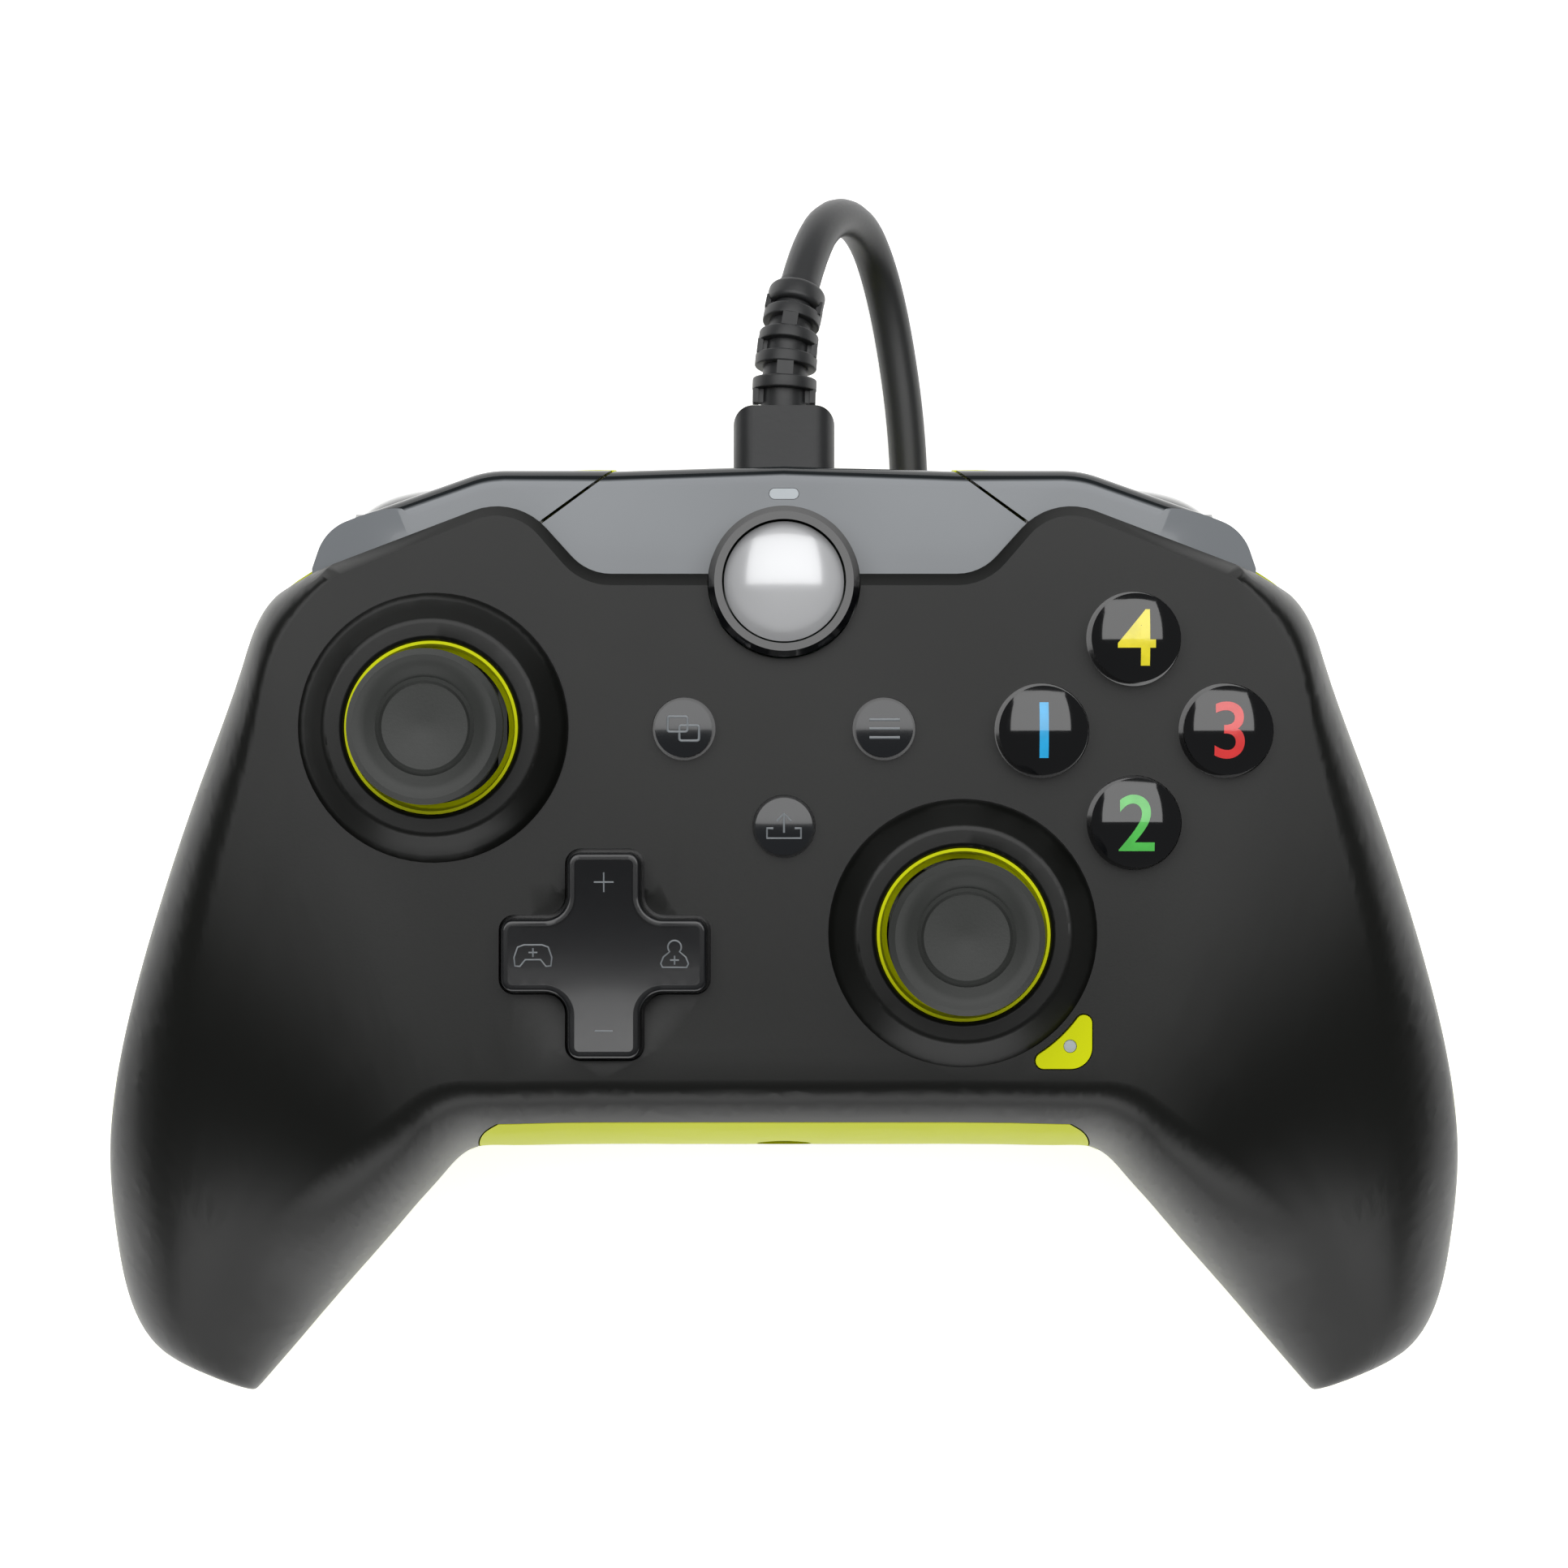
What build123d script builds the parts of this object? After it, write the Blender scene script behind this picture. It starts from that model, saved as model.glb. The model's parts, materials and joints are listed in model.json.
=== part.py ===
from build123d import *

import os
from math import cos, dist, hypot, pi, radians, sin, tan

os.makedirs("parts", exist_ok=True)

# Wired gamepad, lying on its back with its face up, in millimetres.
# +X points to its right-hand grip, +Y to its cable and +Z out of its face.
# The origin is on the surface that it lies on, under the middle of its body.

# Driving sizes of the whole pad
BODY_WIDTH = 156.0
BODY_LENGTH = 108.2
FACE_HEIGHT = 46.0
WALL = 2.0

# Clearances and the overrun of cutting tools
SEAM_GAP = 0.15
SLIDE_GAP = 0.3
RUNNING_GAP = 0.05
BUTTON_GAP = 0.35
OVERRUN = 5.0

HALF_WIDTH = BODY_WIDTH / 2
HALF_LENGTH = BODY_LENGTH / 2
FACE_UNDERSIDE = FACE_HEIGHT - WALL
SIDES = {"left": -1, "right": 1}

# Body stations, from the middle of the pad to the tip of a grip.
# Plan: x and y of the inner and of the outer end of each cross-section.
PLAN_SHARES = (
    (0.0000, -0.4436, 0.0000, 1.0000),
    (0.1795, -0.4436, 0.1795, 1.0000),
    (0.3205, -0.4436, 0.3590, 0.9963),
    (0.4103, -0.4436, 0.5321, 0.9168),
    (0.4577, -0.4455, 0.6680, 0.8080),
    (0.4846, -0.4677, 0.7513, 0.7209),
    (0.5103, -0.5083, 0.7936, 0.5823),
    (0.5436, -0.5619, 0.8526, 0.3457),
    (0.5897, -0.6396, 0.9179, 0.0665),
    (0.6462, -0.7320, 0.9692, -0.1996),
    (0.6974, -0.8170, 1.0000, -0.4436),
    (0.7410, -0.8909, 1.0038, -0.6359),
    (0.7744, -0.9464, 0.9936, -0.7800),
    (0.7949, -0.9806, 0.9692, -0.8688),
    (0.8064, -0.9972, 0.9308, -0.9187),
)
# Heights: the widest line inside and outside, the face inside and outside,
# the belly inside and outside, as shares of the face's height.
HEIGHT_SHARES = (
    (0.457, 0.652, 1.000, 0.957, 0.435, 0.446),
    (0.457, 0.652, 1.000, 0.957, 0.435, 0.446),
    (0.467, 0.663, 1.000, 0.957, 0.424, 0.435),
    (0.500, 0.685, 1.000, 0.961, 0.422, 0.426),
    (0.543, 0.717, 1.000, 0.970, 0.409, 0.413),
    (0.565, 0.739, 1.000, 0.976, 0.383, 0.396),
    (0.557, 0.746, 0.998, 0.980, 0.335, 0.357),
    (0.533, 0.748, 0.985, 0.980, 0.243, 0.274),
    (0.478, 0.748, 0.933, 0.954, 0.143, 0.170),
    (0.413, 0.730, 0.826, 0.874, 0.065, 0.087),
    (0.365, 0.620, 0.696, 0.752, 0.013, 0.026),
    (0.330, 0.457, 0.591, 0.630, -0.004, 0.000),
    (0.304, 0.348, 0.509, 0.530, 0.013, 0.017),
    (0.287, 0.309, 0.448, 0.457, 0.070, 0.074),
    (0.280, 0.287, 0.383, 0.387, 0.152, 0.157),
)
# Runs of the four rounded corners, as shares of the section's length: face inside,
# face outside, belly outside, belly inside, and the fullness of the inside one.
CORNER_SHARES = (
    (0.115, 0.030, 0.154, 0.115, 0.50),
    (0.115, 0.030, 0.154, 0.115, 0.50),
    (0.115, 0.030, 0.167, 0.115, 0.50),
    (0.121, 0.035, 0.189, 0.128, 0.50),
    (0.131, 0.045, 0.203, 0.145, 0.52),
    (0.141, 0.085, 0.215, 0.155, 0.54),
    (0.159, 0.125, 0.254, 0.175, 0.56),
    (0.192, 0.174, 0.311, 0.210, 0.56),
    (0.239, 0.228, 0.370, 0.261, 0.58),
    (0.301, 0.301, 0.392, 0.314, 0.58),
    (0.354, 0.370, 0.418, 0.354, 0.58),
    (0.384, 0.405, 0.445, 0.384, 0.58),
    (0.414, 0.414, 0.440, 0.414, 0.56),
    (0.423, 0.423, 0.437, 0.423, 0.56),
    (0.406, 0.406, 0.415, 0.406, 0.56),
)
CROWN_DEGREES = (
    (0, 0), (0, 0), (0, 1), (0, 2), (0, 2), (1, 3), (2, 4), (3, 5),
    (5, 6), (7, 8), (9, 9), (10, 10), (10, 10), (8, 8), (5, 5),
)
CORNER_FULLNESS_SHARE = 0.58
SOFTER_FULLNESS_SHARE = 0.1
LINING_STATIONS = 13

# Parting line between the casings, seen from the side, from the cable end to the grip tips
PARTING_SHARES = (
    (-0.22, 0.728), (-0.32, 0.716), (-0.40, 0.67), (-0.50, 0.56),
    (-0.61, 0.44), (-0.74, 0.345), (-0.87, 0.29), (-1.1, 0.25),
)
PARTING_END_SLOPE_SHARE = 0.15


def in_plan(shares):
    """A point of the plan from its shares of the half width and the half length."""
    return (shares[0] * HALF_WIDTH, shares[1] * HALF_LENGTH)


def keep(piece, name):
    """Label a finished piece and write it."""
    piece.part.label = name
    export_step(piece.part, f"parts/{name}.step")


def upright(x, y, direction=(1, 0)):
    """A standing plane through a point of the plan: local x along direction, local y up."""
    return Plane(origin=(x, y, 0), x_dir=(*direction, 0), z_dir=(direction[1], -direction[0], 0))


def turned(vector, angle):
    """A flat vector turned anticlockwise by an angle in degrees."""
    c, s = cos(radians(angle)), sin(radians(angle))
    return (vector[0] * c - vector[1] * s, vector[0] * s + vector[1] * c)


def moved(point, direction, distance):
    return (point[0] + direction[0] * distance, point[1] + direction[1] * distance)


def heading(start, end):
    """The unit vector from one flat point to another, and their distance."""
    span = hypot(end[0] - start[0], end[1] - start[1])
    return ((end[0] - start[0]) / span, (end[1] - start[1]) / span), span


def inset_ends(index, inset):
    """The two ends of a body section in plan, moved in from the walls by an inset."""
    last = len(PLAN_SHARES) - 1
    rows = [PLAN_SHARES[max(index - 1, 0)], PLAN_SHARES[index], PLAN_SHARES[min(index + 1, last)]]
    inner = [in_plan(row[:2]) for row in rows]
    outer = [in_plan(row[2:]) for row in rows]
    across, _ = heading(inner[1], outer[1])
    ends = []
    for line, sign in ((inner, 1), (outer, -1)):
        along, _ = heading(line[0], line[2])
        lean = abs(across[0] * along[1] - across[1] * along[0])
        ends.append(moved(line[1], across, sign * inset / lean))
    return ends


def body_section(index, side, inset):
    """One cross-section of the body: its plane, and its six Bezier edges in that plane."""
    inner, outer = inset_ends(index, inset)
    direction, length = heading(inner, outer)
    plane = upright(inner[0] * side, inner[1], (direction[0] * side, direction[1]))
    wide_in, wide_out, face_in, face_out, belly_in, belly_out = [
        share * FACE_HEIGHT for share in HEIGHT_SHARES[index]
    ]
    face_in, face_out = face_in - inset, face_out - inset
    belly_in, belly_out = belly_in + inset, belly_out + inset
    run = [share * length for share in CORNER_SHARES[index][:4]]
    soft = CORNER_SHARES[index][4]
    full = CORNER_FULLNESS_SHARE
    face_crown, belly_crown = CROWN_DEGREES[index]

    p0, p1 = (0, wide_in), (run[0], face_in)
    p2, p3 = (length - run[1], face_out), (length, wide_out)
    p4, p5 = (length - run[2], belly_out), (run[3], belly_in)
    face, face_span = heading(p1, p2)
    belly, belly_span = heading(p4, p5)
    t1, t2 = turned(face, face_crown), turned(face, -face_crown)
    t4, t5 = turned(belly, belly_crown), turned(belly, -belly_crown)
    near_face = min(full, soft + SOFTER_FULLNESS_SHARE)
    return plane, (
        (p0, (0, wide_in + soft * (face_in - wide_in)), moved(p1, t1, -near_face * run[0]), p1),
        (p1, moved(p1, t1, face_span / 3), moved(p2, t2, -face_span / 3), p2),
        (p2, moved(p2, t2, full * run[1]), (length, wide_out + full * (face_out - wide_out)), p3),
        (p3, (length, wide_out - full * (wide_out - belly_out)), moved(p4, t4, -full * run[2]), p4),
        (p4, moved(p4, t4, belly_span / 3), moved(p5, t5, -belly_span / 3), p5),
        (p5, moved(p5, t5, full * run[3]), (0, wide_in - full * (wide_in - belly_in)), p0),
    )


def body_form(inset=0.0):
    """The whole body as one loft, from the left grip's tip across to the right one's."""
    count = len(PLAN_SHARES) if inset == 0 else LINING_STATIONS
    stations = [(i, -1) for i in reversed(range(1, count))] + [(i, 1) for i in range(count)]
    outlines = []
    for index, side in stations:
        plane, curves = body_section(index, side, inset)
        with BuildLine(plane):
            outlines.append(Wire([Bezier(*points) for points in curves]))
    with BuildPart() as form:
        add(Solid.make_loft(outlines))
    return form.part


body_solid = body_form()
lining_solid = body_form(WALL)


# Edge of the face towards the bumpers, right half from the middle outwards, with its roundings
LIP_SHARES = ((0.0, 0.7726), (0.284, 0.7726), (0.3875, 0.938), (0.682, 0.776), (0.759, 0.7172), (0.87, 0.64))
LIP_RADII = (6.0, 7.5, 4.0, 2.0)
LIP_CHAMFER = 1.2
LIP_FALL = 1.8
CHAMFER_DEGREES = 45.0
# How far the bridge, the bumpers and the free space reach under that edge
BRIDGE_REACH = 1.5
BUMPER_REACH = 0.9
POCKET_REACH = 2.4
POCKET_END = 53.75

# Deck: the glossy bridge and bumpers, a step lower than the face, falling towards the shoulders
DECK_DROP = 3.6
DECK_TOP = FACE_HEIGHT - DECK_DROP
DECK_FALL_START = 42.0
DECK_FALL_DEGREES = 18.5
BRIDGE_BOTTOM = 24.0
BUMPER_BOTTOM = 31.0
BRIDGE_EDGE_RADIUS = 2.0
BUMPER_EDGE_RADIUS = 2.2
DECK_WALL = 1.8
# Shares of a wall's normal that count as upright, and as facing the cable
UPRIGHT_LEAN = 0.1
BRIDGE_LEAN = 0.9
BRIDGE_SHARES = ((0.0, 1.0), (0.246, 0.9889), (0.3487, 0.8799), (0.42, 0.79), (0.38, 0.70), (0.0, 0.70))
BUMPER_SHARES = (
    (0.2505, 0.9908), (0.4308, 0.9908), (0.668, 0.869), (0.688, 0.787), (0.684, 0.70),
    (0.42, 0.70), (0.43, 0.79), (0.353, 0.8835),
)
BUMPER_CORNERS = (0.0, 12.0, 5.5, 0.0, 0.0, 0.0, 0.0, 0.0)
BUMPER_PIVOT_SHARES = (0.3231, 0.9482)
BUMPER_PIN_RADIUS = 0.8
BUMPER_PIN_TOP = 40.0
BUMPER_PILLAR_RADIUS = 2.6

# Headset jack, in the middle of the edge between the grips
JACK_BORE_RADIUS = 1.8
JACK_DEPTH = 12.0
JACK_RECESS = 1.0
JACK_RADIUS = 3.0
JACK_BODY = (7.6, 13.0, 6.2)

# Strip of the back casing that shows below the face, between the grips
STRIP_SHARES = ((0.0, -0.30), (0.33, -0.30), (0.45, -0.405), (0.467, -0.75), (0.0, -0.75))
STRIP_HEIGHT = 41.5
STRIP_RADII = (4.0, 4.0, 0.0)

# Sticks
STICK_SHARES = {"left": (-0.505, 0.451), "right": (0.257, 0.0233)}
STICK_OPENING_RADIUS = 9.74
STICK_PRESS = 0.8
COLLAR_RISE = 2.5
COLLAR_RADIUS = 12.06
COLLAR_FOOT_RADIUS = 15.2
WELL_ROOM_RADIUS = 12.0

# Direction pad
DPAD_SHARES = (-0.2577, -0.0192)
DPAD_SPAN = 22.9
DPAD_ARM = 8.05
DPAD_ARM_CORNER = 1.3
DPAD_INNER_CORNER = 2.6
DPAD_EDGE_RADIUS = 0.4
DPAD_RIM = 0.75
DPAD_GAP = 0.45
DPAD_DISH_RADIUS = 12.8
DPAD_DISH_DEPTH = 1.2
DPAD_SEAT_RADIUS = 14.4

# Buttons
CLUSTER_SHARES = (0.5038, 0.4455)
CLUSTER_SPACING = 10.33
FACE_BUTTON_RADIUS = 4.98
FACE_BUTTONS = {"right": (1, 0), "top": (0, 1), "left": (-1, 0), "bottom": (0, -1)}
SMALL_BUTTON_SHARES = {
    "view_button": (-0.1442, 0.4492),
    "menu_button": (0.1442, 0.4492),
    "share_button": (0.0, 0.2468),
}
SMALL_BUTTON_RADIUS = 3.2
SMALL_BUTTON_TRAVEL = 0.7
BUTTON_CHAMFER = 0.4

# Guide button
GUIDE_SHARES = (0.0, 0.7542)
GUIDE_RADIUS = 6.72
GUIDE_RING_RADIUS = 8.46
GUIDE_TRAVEL = 0.5

# Light at the top of the bridge
LIGHT_SHARES = (0.0, 0.94)
LIGHT_LENGTH = 3.3
LIGHT_WIDTH = 1.2

# Badge below the right stick, placed from that stick's centre
BADGE_EDGE = 14.45
BADGE_DROP = 15.06
BADGE_CURVE_RADIUS = 15.9
BADGE_TIP_RADIUS = 0.9
BADGE_CORNER_RADIUS = 2.4
BADGE_LIGHT = (12.0, -12.52)
BADGE_LIGHT_RADIUS = 0.75

# Main board
BOARD_DROP = 12.0
BOARD_THICKNESS = 1.6
BOARD_TOP = FACE_HEIGHT - BOARD_DROP
BOARD_BOTTOM = BOARD_TOP - BOARD_THICKNESS
BOARD_SHARES = (
    (0.0, 0.924), (0.19, 0.924), (0.19, 0.70), (0.487, 0.70), (0.487, 0.795), (0.575, 0.795),
    (0.575, 0.70), (0.607, 0.70), (0.607, 0.26), (0.564, 0.15), (0.564, -0.24), (0.48, -0.32), (0.0, -0.32),
)

# Cable socket and the plug's tip in it
SOCKET_WIDTH = 9.0
SOCKET_HEIGHT = 3.4
SOCKET_START = 44.5
SOCKET_LENGTH = 7.6
PLUG_TIP_WIDTH = 8.2
PLUG_TIP_HEIGHT = 2.4
PLUG_TIP_LENGTH = 6.6
PLUG_HEIGHT = BOARD_BOTTOM - SOCKET_HEIGHT / 2

# Triggers
TRIGGER_INNER = 27.8
TRIGGER_OUTER = 50.8
TRIGGER_SLOT_GAP = 0.5
TRIGGER_PIVOT = (40.5, 27.0)
TRIGGER_PIN_RADIUS = 1.2
TRIGGER_HUB_RADIUS = 3.2
TRIGGER_WEB = 1.6
TRIGGER_WEB_INSET = 0.9
SPRING_START_SHARE = 0.687
SPRING_END_SHARE = 0.896
SPRING_RADII = (1.5, 2.3)
SPRING_GAP = 0.2
POCKET_WALL = 1.4
POCKET_BACK = 36.3
POCKET_TOP = 30.7
# How far the trigger's front lies back from its foremost line, across its width
TRIGGER_SETBACKS = (
    (0.0, 1.3), (0.08, 0.75), (0.2, 0.5), (0.35, 0.45), (0.5, 0.6), (0.65, 1.0),
    (0.78, 1.75), (0.88, 2.9), (0.95, 4.4), (1.0, 6.6),
)

# Rumble motors in the grips
MOTOR_SHARES = (0.769, -0.166)
MOTOR_RADIUS = 9.5
MOTOR_BOTTOM = 17.5
MOTOR_HEIGHT = 12.0
MOTOR_SHAFT_RADIUS = 1.0
MOTOR_SHAFT_LENGTH = 16.0
WEIGHT_RADIUS = 9.0
WEIGHT_HEIGHT = 6.0
WEIGHT_GAP = 1.0
CRADLE_WALL = 1.5
CRADLE_RISE = 4.0

# Casing screws: places, and their posts
SCREW_SHARES = ((0.385, -0.259), (0.667, 0.555), (0.867, -0.628))
SCREW_RADIUS = 1.2
SCREW_HEAD_RADIUS = 2.4
SCREW_HEAD_HEIGHT = 1.6
SCREW_LENGTH = 12.0
SCREW_DEPTH = 6.0
POST_RADIUS = 3.0
LOWER_POST_RADIUS = 4.2
# Heights at which the posts of the two casings meet
POST_SPLITS = (31.0, 31.0, 17.5)


# Sticks: gimbal frame, yokes, pin, shaft and cap, about a pivot over the board
STICK_PIVOT_RISE = 6.4
FRAME_SPAN = 16.4
FRAME_WALL = 1.0
FRAME_FLOOR = 0.6
FRAME_HEIGHT = 9.0
TRUNNION_RADIUS = 1.4
YOKE_SIZE = (6.6, 13.6, 3.4)
YOKE_SLOT = (4.3, 10.0)
PIN_RADIUS = 0.8
ARCH_RADIUS = 5.2
ARCH_THICKNESS = 1.1
ARCH_WIDTH = 6.0
ARCH_SLOT = (9.0, 4.6)
ARCH_FOOT = 1.9
SHAFT_RADIUS = 2.0
SHAFT_BELOW = 4.2
SHAFT_ABOVE = 12.9
CAP_RADIUS = 8.58
# Cap outline, radius and height over the pivot, as shares of the cap's radius
CAP_SHARES = (
    (0.239, 0.851), (0.394, 0.845), (0.520, 0.778), (0.624, 0.693), (0.679, 0.754), (0.565, 0.846),
    (0.429, 0.919), (0.385, 1.107), (0.385, 1.469), (0.420, 1.608), (0.886, 1.608), (1.0, 1.725),
    (1.0, 2.028), (0.921, 2.110), (0.816, 2.096), (0.635, 1.993), (0.588, 2.034), (0.552, 1.984),
    (0.0, 1.925), (0.0, 1.510), (0.239, 1.510),
)
WELL_RING_SHARES = (
    (0.995, 0.526), (0.960, 0.526), (0.929, 0.177), (0.873, 0.136), (0.873, 0.0385),
    (1.150, 0.0385), (1.150, 0.095), (0.995, 0.095),
)
SENSOR_SIZE = (3.0, 10.0, 8.0)

# Direction pad: post on the board, tilting hub, cross and rubber sheet
DPAD_PIVOT_HEIGHT = 43.0
DPAD_POST_RADIUS = 2.0
DPAD_POST_TOP = 41.6
DPAD_HUB_RADIUS = 3.2
DPAD_HUB_HEIGHT = 2.2
DPAD_CAVITY_GAP = 0.5
DPAD_CAVITY_TOP = 44.8
DPAD_BOTTOM = 40.5
DPAD_RISE = 2.9
DPAD_HOLLOW = 0.7
DPAD_FLANGE_RADIUS = 12.6
DPAD_FLANGE_THICKNESS = 0.9
MEMBRANE_THICKNESS = 0.8
DPAD_DOME_RADIUS = 2.6
DPAD_DOME_SHARE = 0.68
FACE_DOME_RADIUS = 3.2

# Button stems and flanges
FLANGE_GAP = 0.1
FLANGE_THICKNESS = 1.0
FLANGE_RIM = 0.8
FACE_BUTTON_RISE = 3.5
FACE_BUTTON_DOME = 1.3
FACE_STEM_RADIUS = 3.0
FACE_STEM_BOTTOM = 38.2
SMALL_BUTTON_RISE = 1.2
SMALL_STEM_RADIUS = 1.6
STEM_BOTTOM = 40.0
GUIDE_BUTTON_RISE = 2.0
GUIDE_BUTTON_DOME = 1.9
GUIDE_STEM_RADIUS = 2.5
GUIDE_RING_RISE = 1.3
GUIDE_RING_DEPTH = 5.3
GUIDE_BARREL = (7.6, 8.3)
LIGHT_DEPTH = 2.7
BADGE_RISE = 0.4
BADGE_RIM = 1.0

# Switches and chips on the board
SWITCH_BODY = (6.0, 6.0, 3.4)
SWITCH_PLUNGER_RADIUS = 1.7
BUMPER_SWITCH_PLACE = (41.2, 41.25)
BUMPER_SWITCH_SIZE = (6.0, 4.1, 3.4)
BUMPER_SWITCH_REACH = 1.2
CHIP_PLACES = ((0.0, 2.0), (0.0, -9.5), (-3.5, 27.5), (3.5, 27.5), (30.0, 36.0))
CHIP_SIZES = ((9.0, 9.0, 1.2), (5.0, 6.0, 1.0), (3.2, 2.5, 1.0), (4.0, 4.0, 0.9), (6.0, 5.0, 1.0))

# Trigger outlines seen from the side: front and inner faces, and the webs, from the top down
TRIGGER_FRONT_SHARES = (
    (0.9150, 0.6500), (0.9723, 0.6457), (0.9889, 0.5652), (0.9889, 0.4348),
    (0.9889, 0.2826), (0.8835, 0.2283), (0.9630, 0.0565),
)
TRIGGER_BACK_SHARES = (
    (0.9057, 0.5957), (0.9390, 0.5935), (0.9501, 0.5326), (0.9482, 0.4348),
    (0.9445, 0.2935), (0.8392, 0.2348), (0.9150, 0.0630),
)
WEB_FRONT_SHARES = (
    (0.7948, 0.6543), (0.9279, 0.6304), (0.9686, 0.5435), (0.9723, 0.4348),
    (0.9593, 0.3261), (0.9298, 0.2174), (0.9224, 0.1413),
)
WEB_BACK_SHARES = ((0.8688, 0.1957), (0.8041, 0.3478), (0.7431, 0.5435))
WEB_FOLLOW_SHARES = (1.0, 0.5, 0.0)

# Cable: plug in the pad, ribbed relief, lead, flat oval coil, tail and the far plug
CORD_DIAMETER = 4.6
PLUG_WIDTH = 11.6
PLUG_BODY_HEIGHT = 7.5
PLUG_CORNER = 2.6
PLUG_END_CORNER = 2.2
PLUG_START = 52.9
PLUG_END = 61.5
RELIEF_POINTS = ((0.0, 61.5, 30.7), (0.0, 69.0, 30.7), (1.8, 76.0, 26.5))
RELIEF_BASE_RADIUS = 3.7
RELIEF_TIP_RADIUS = 3.3
RELIEF_GROOVE = 0.7
RELIEF_RIBS = 7
LEAD_POINTS = (
    (1.8, 76.0, 26.5), (3.33, 81.95, 22.93), (6.2, 85.6, 16.7), (9.2, 85.0, 9.8), (11.4, 80.6, 4.5),
    (13.3, 72.8, 2.4), (14.9, 61.5, 2.35), (15.4, 49.2, 2.35), (11.0, 41.3, 2.6), (3.15, 36.9, 2.95),
    (-5.85, 36.9, 2.95),
)
COIL_MIDDLE = 8.6
COIL_RUN = 32.0
COIL_PITCH = 5.02
COIL_TURNS = 4
COIL_RADIUS = 28.3
COIL_BOTTOM = 2.95
COIL_STEP = 5.05
TAIL_POINTS = (
    (11.0, 36.9, 8.0), (2.0, 36.9, 8.0), (-8.0, 36.6, 11.0), (-18.0, 35.0, 13.1), (-28.0, 29.5, 13.1),
    (-35.5, 20.5, 13.1), (-38.0, 10.0, 13.1), (-35.0, -0.5, 13.3), (-27.0, -9.0, 13.9),
    (-17.5, -12.0, 14.15), (-10.0, -12.0, 14.15),
)
FAR_RELIEF_LENGTH = 8.0
FAR_RELIEF_RADIUS = 2.75
FAR_GRIP = (28.0, 15.5, 7.5)
FAR_GRIP_CORNER = 2.4
FAR_SHELL = (12.0, 12.0, 4.5)
FAR_SHELL_WALL = 0.4
FAR_TONGUE = 1.8
TIE_PLACE = -12.5
TIE_WIDTH = 7.0
TIE_THICKNESS = 0.6
TIE_GAP = 0.05


def above_parting(gap=0.0):
    """Everything above the parting surface, which starts lower by the gap."""
    points = [(y * HALF_LENGTH, z * FACE_HEIGHT - gap) for y, z in PARTING_SHARES]
    front, back, top = HALF_LENGTH + OVERRUN, points[-1][0], FACE_HEIGHT + WALL + OVERRUN
    with BuildPart() as block:
        with BuildSketch(Plane.YZ.offset(-HALF_WIDTH - OVERRUN)):
            with BuildLine():
                Line((front, points[0][1]), points[0])
                Spline(*points, tangents=((-1, 0), (-1, -PARTING_END_SLOPE_SHARE)))
                Polyline(points[-1], (back, top), (front, top), (front, points[0][1]))
            make_face()
        extrude(amount=BODY_WIDTH + 2 * OVERRUN)
    return block.part


def beyond_lip(reach):
    """Plan of all that lies towards the bumpers from the face's edge, and a reach under it."""
    points = [in_plan(share) for share in LIP_SHARES]
    far = HALF_LENGTH + 2 * OVERRUN
    with BuildSketch() as region:
        with BuildLine():
            edge = FilletPolyline(*points, radius=LIP_RADII)
            side = HALF_WIDTH + OVERRUN
            Polyline(edge @ 1, (side, (edge @ 1).Y), (side, far), (0, far), edge @ 0)
        make_face()
        mirror(about=Plane.YZ)
        if reach:
            offset(amount=reach)
    return region.sketch


def half_plan(shares, radii=None, side=1):
    """A closed outline given for the right half, on the side asked for."""
    points = [(x * side, y) for x, y in (in_plan(share) for share in shares)]
    with BuildSketch() as region:
        with BuildLine():
            if radii:
                FilletPolyline(*points, radius=radii, close=True)
            else:
                Polyline(*points, close=True)
        make_face()
    return region.sketch


def both_halves(shares, radii=None):
    """A closed outline that starts and ends on the middle line, and its mirror image."""
    points = [in_plan(share) for share in shares]
    with BuildSketch() as region:
        with BuildLine():
            if radii:
                edge = FilletPolyline(*points, radius=radii)
            else:
                edge = Polyline(*points)
            Line(edge @ 1, edge @ 0)
        make_face()
        mirror(about=Plane.YZ)
    return region.sketch


def column(sketch, bottom, top):
    """A flat outline raised from one height to another."""
    with BuildPart() as body:
        with BuildSketch(Plane.XY.offset(bottom)):
            add(sketch)
        extrude(amount=top - bottom)
    return body.part


def turned_form(place, points, radii=None):
    """A form turned about the upright axis through a place, from its radius-height outline."""
    with BuildPart() as body:
        with BuildSketch(upright(*place)):
            with BuildLine():
                FilletPolyline(*points, radius=radii or [0] * len(points), close=True)
            make_face()
        revolve(axis=Axis((*place, 0), (0, 0, 1)))
    return body.part


def rod(centre, axis, radius, reach):
    """A round bar that reaches equally far to both sides of its centre."""
    with BuildPart() as bar:
        with BuildSketch(Plane(origin=centre, z_dir=axis)):
            Circle(radius)
        extrude(amount=reach, both=True)
    return bar.part


def block(centre, size, corner=0.0):
    """An upright box about its centre, with rounded upright edges where a corner is given."""
    with BuildPart() as body:
        with BuildSketch(Plane(origin=(centre[0], centre[1], centre[2] - size[2] / 2))):
            if corner:
                RectangleRounded(size[0], size[1], corner)
            else:
                Rectangle(size[0], size[1])
        extrude(amount=size[2])
    return body.part


def in_side(share):
    """A point of the side view from its shares of the half length and the face's height."""
    return (share[0] * HALF_LENGTH, share[1] * FACE_HEIGHT)


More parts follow.
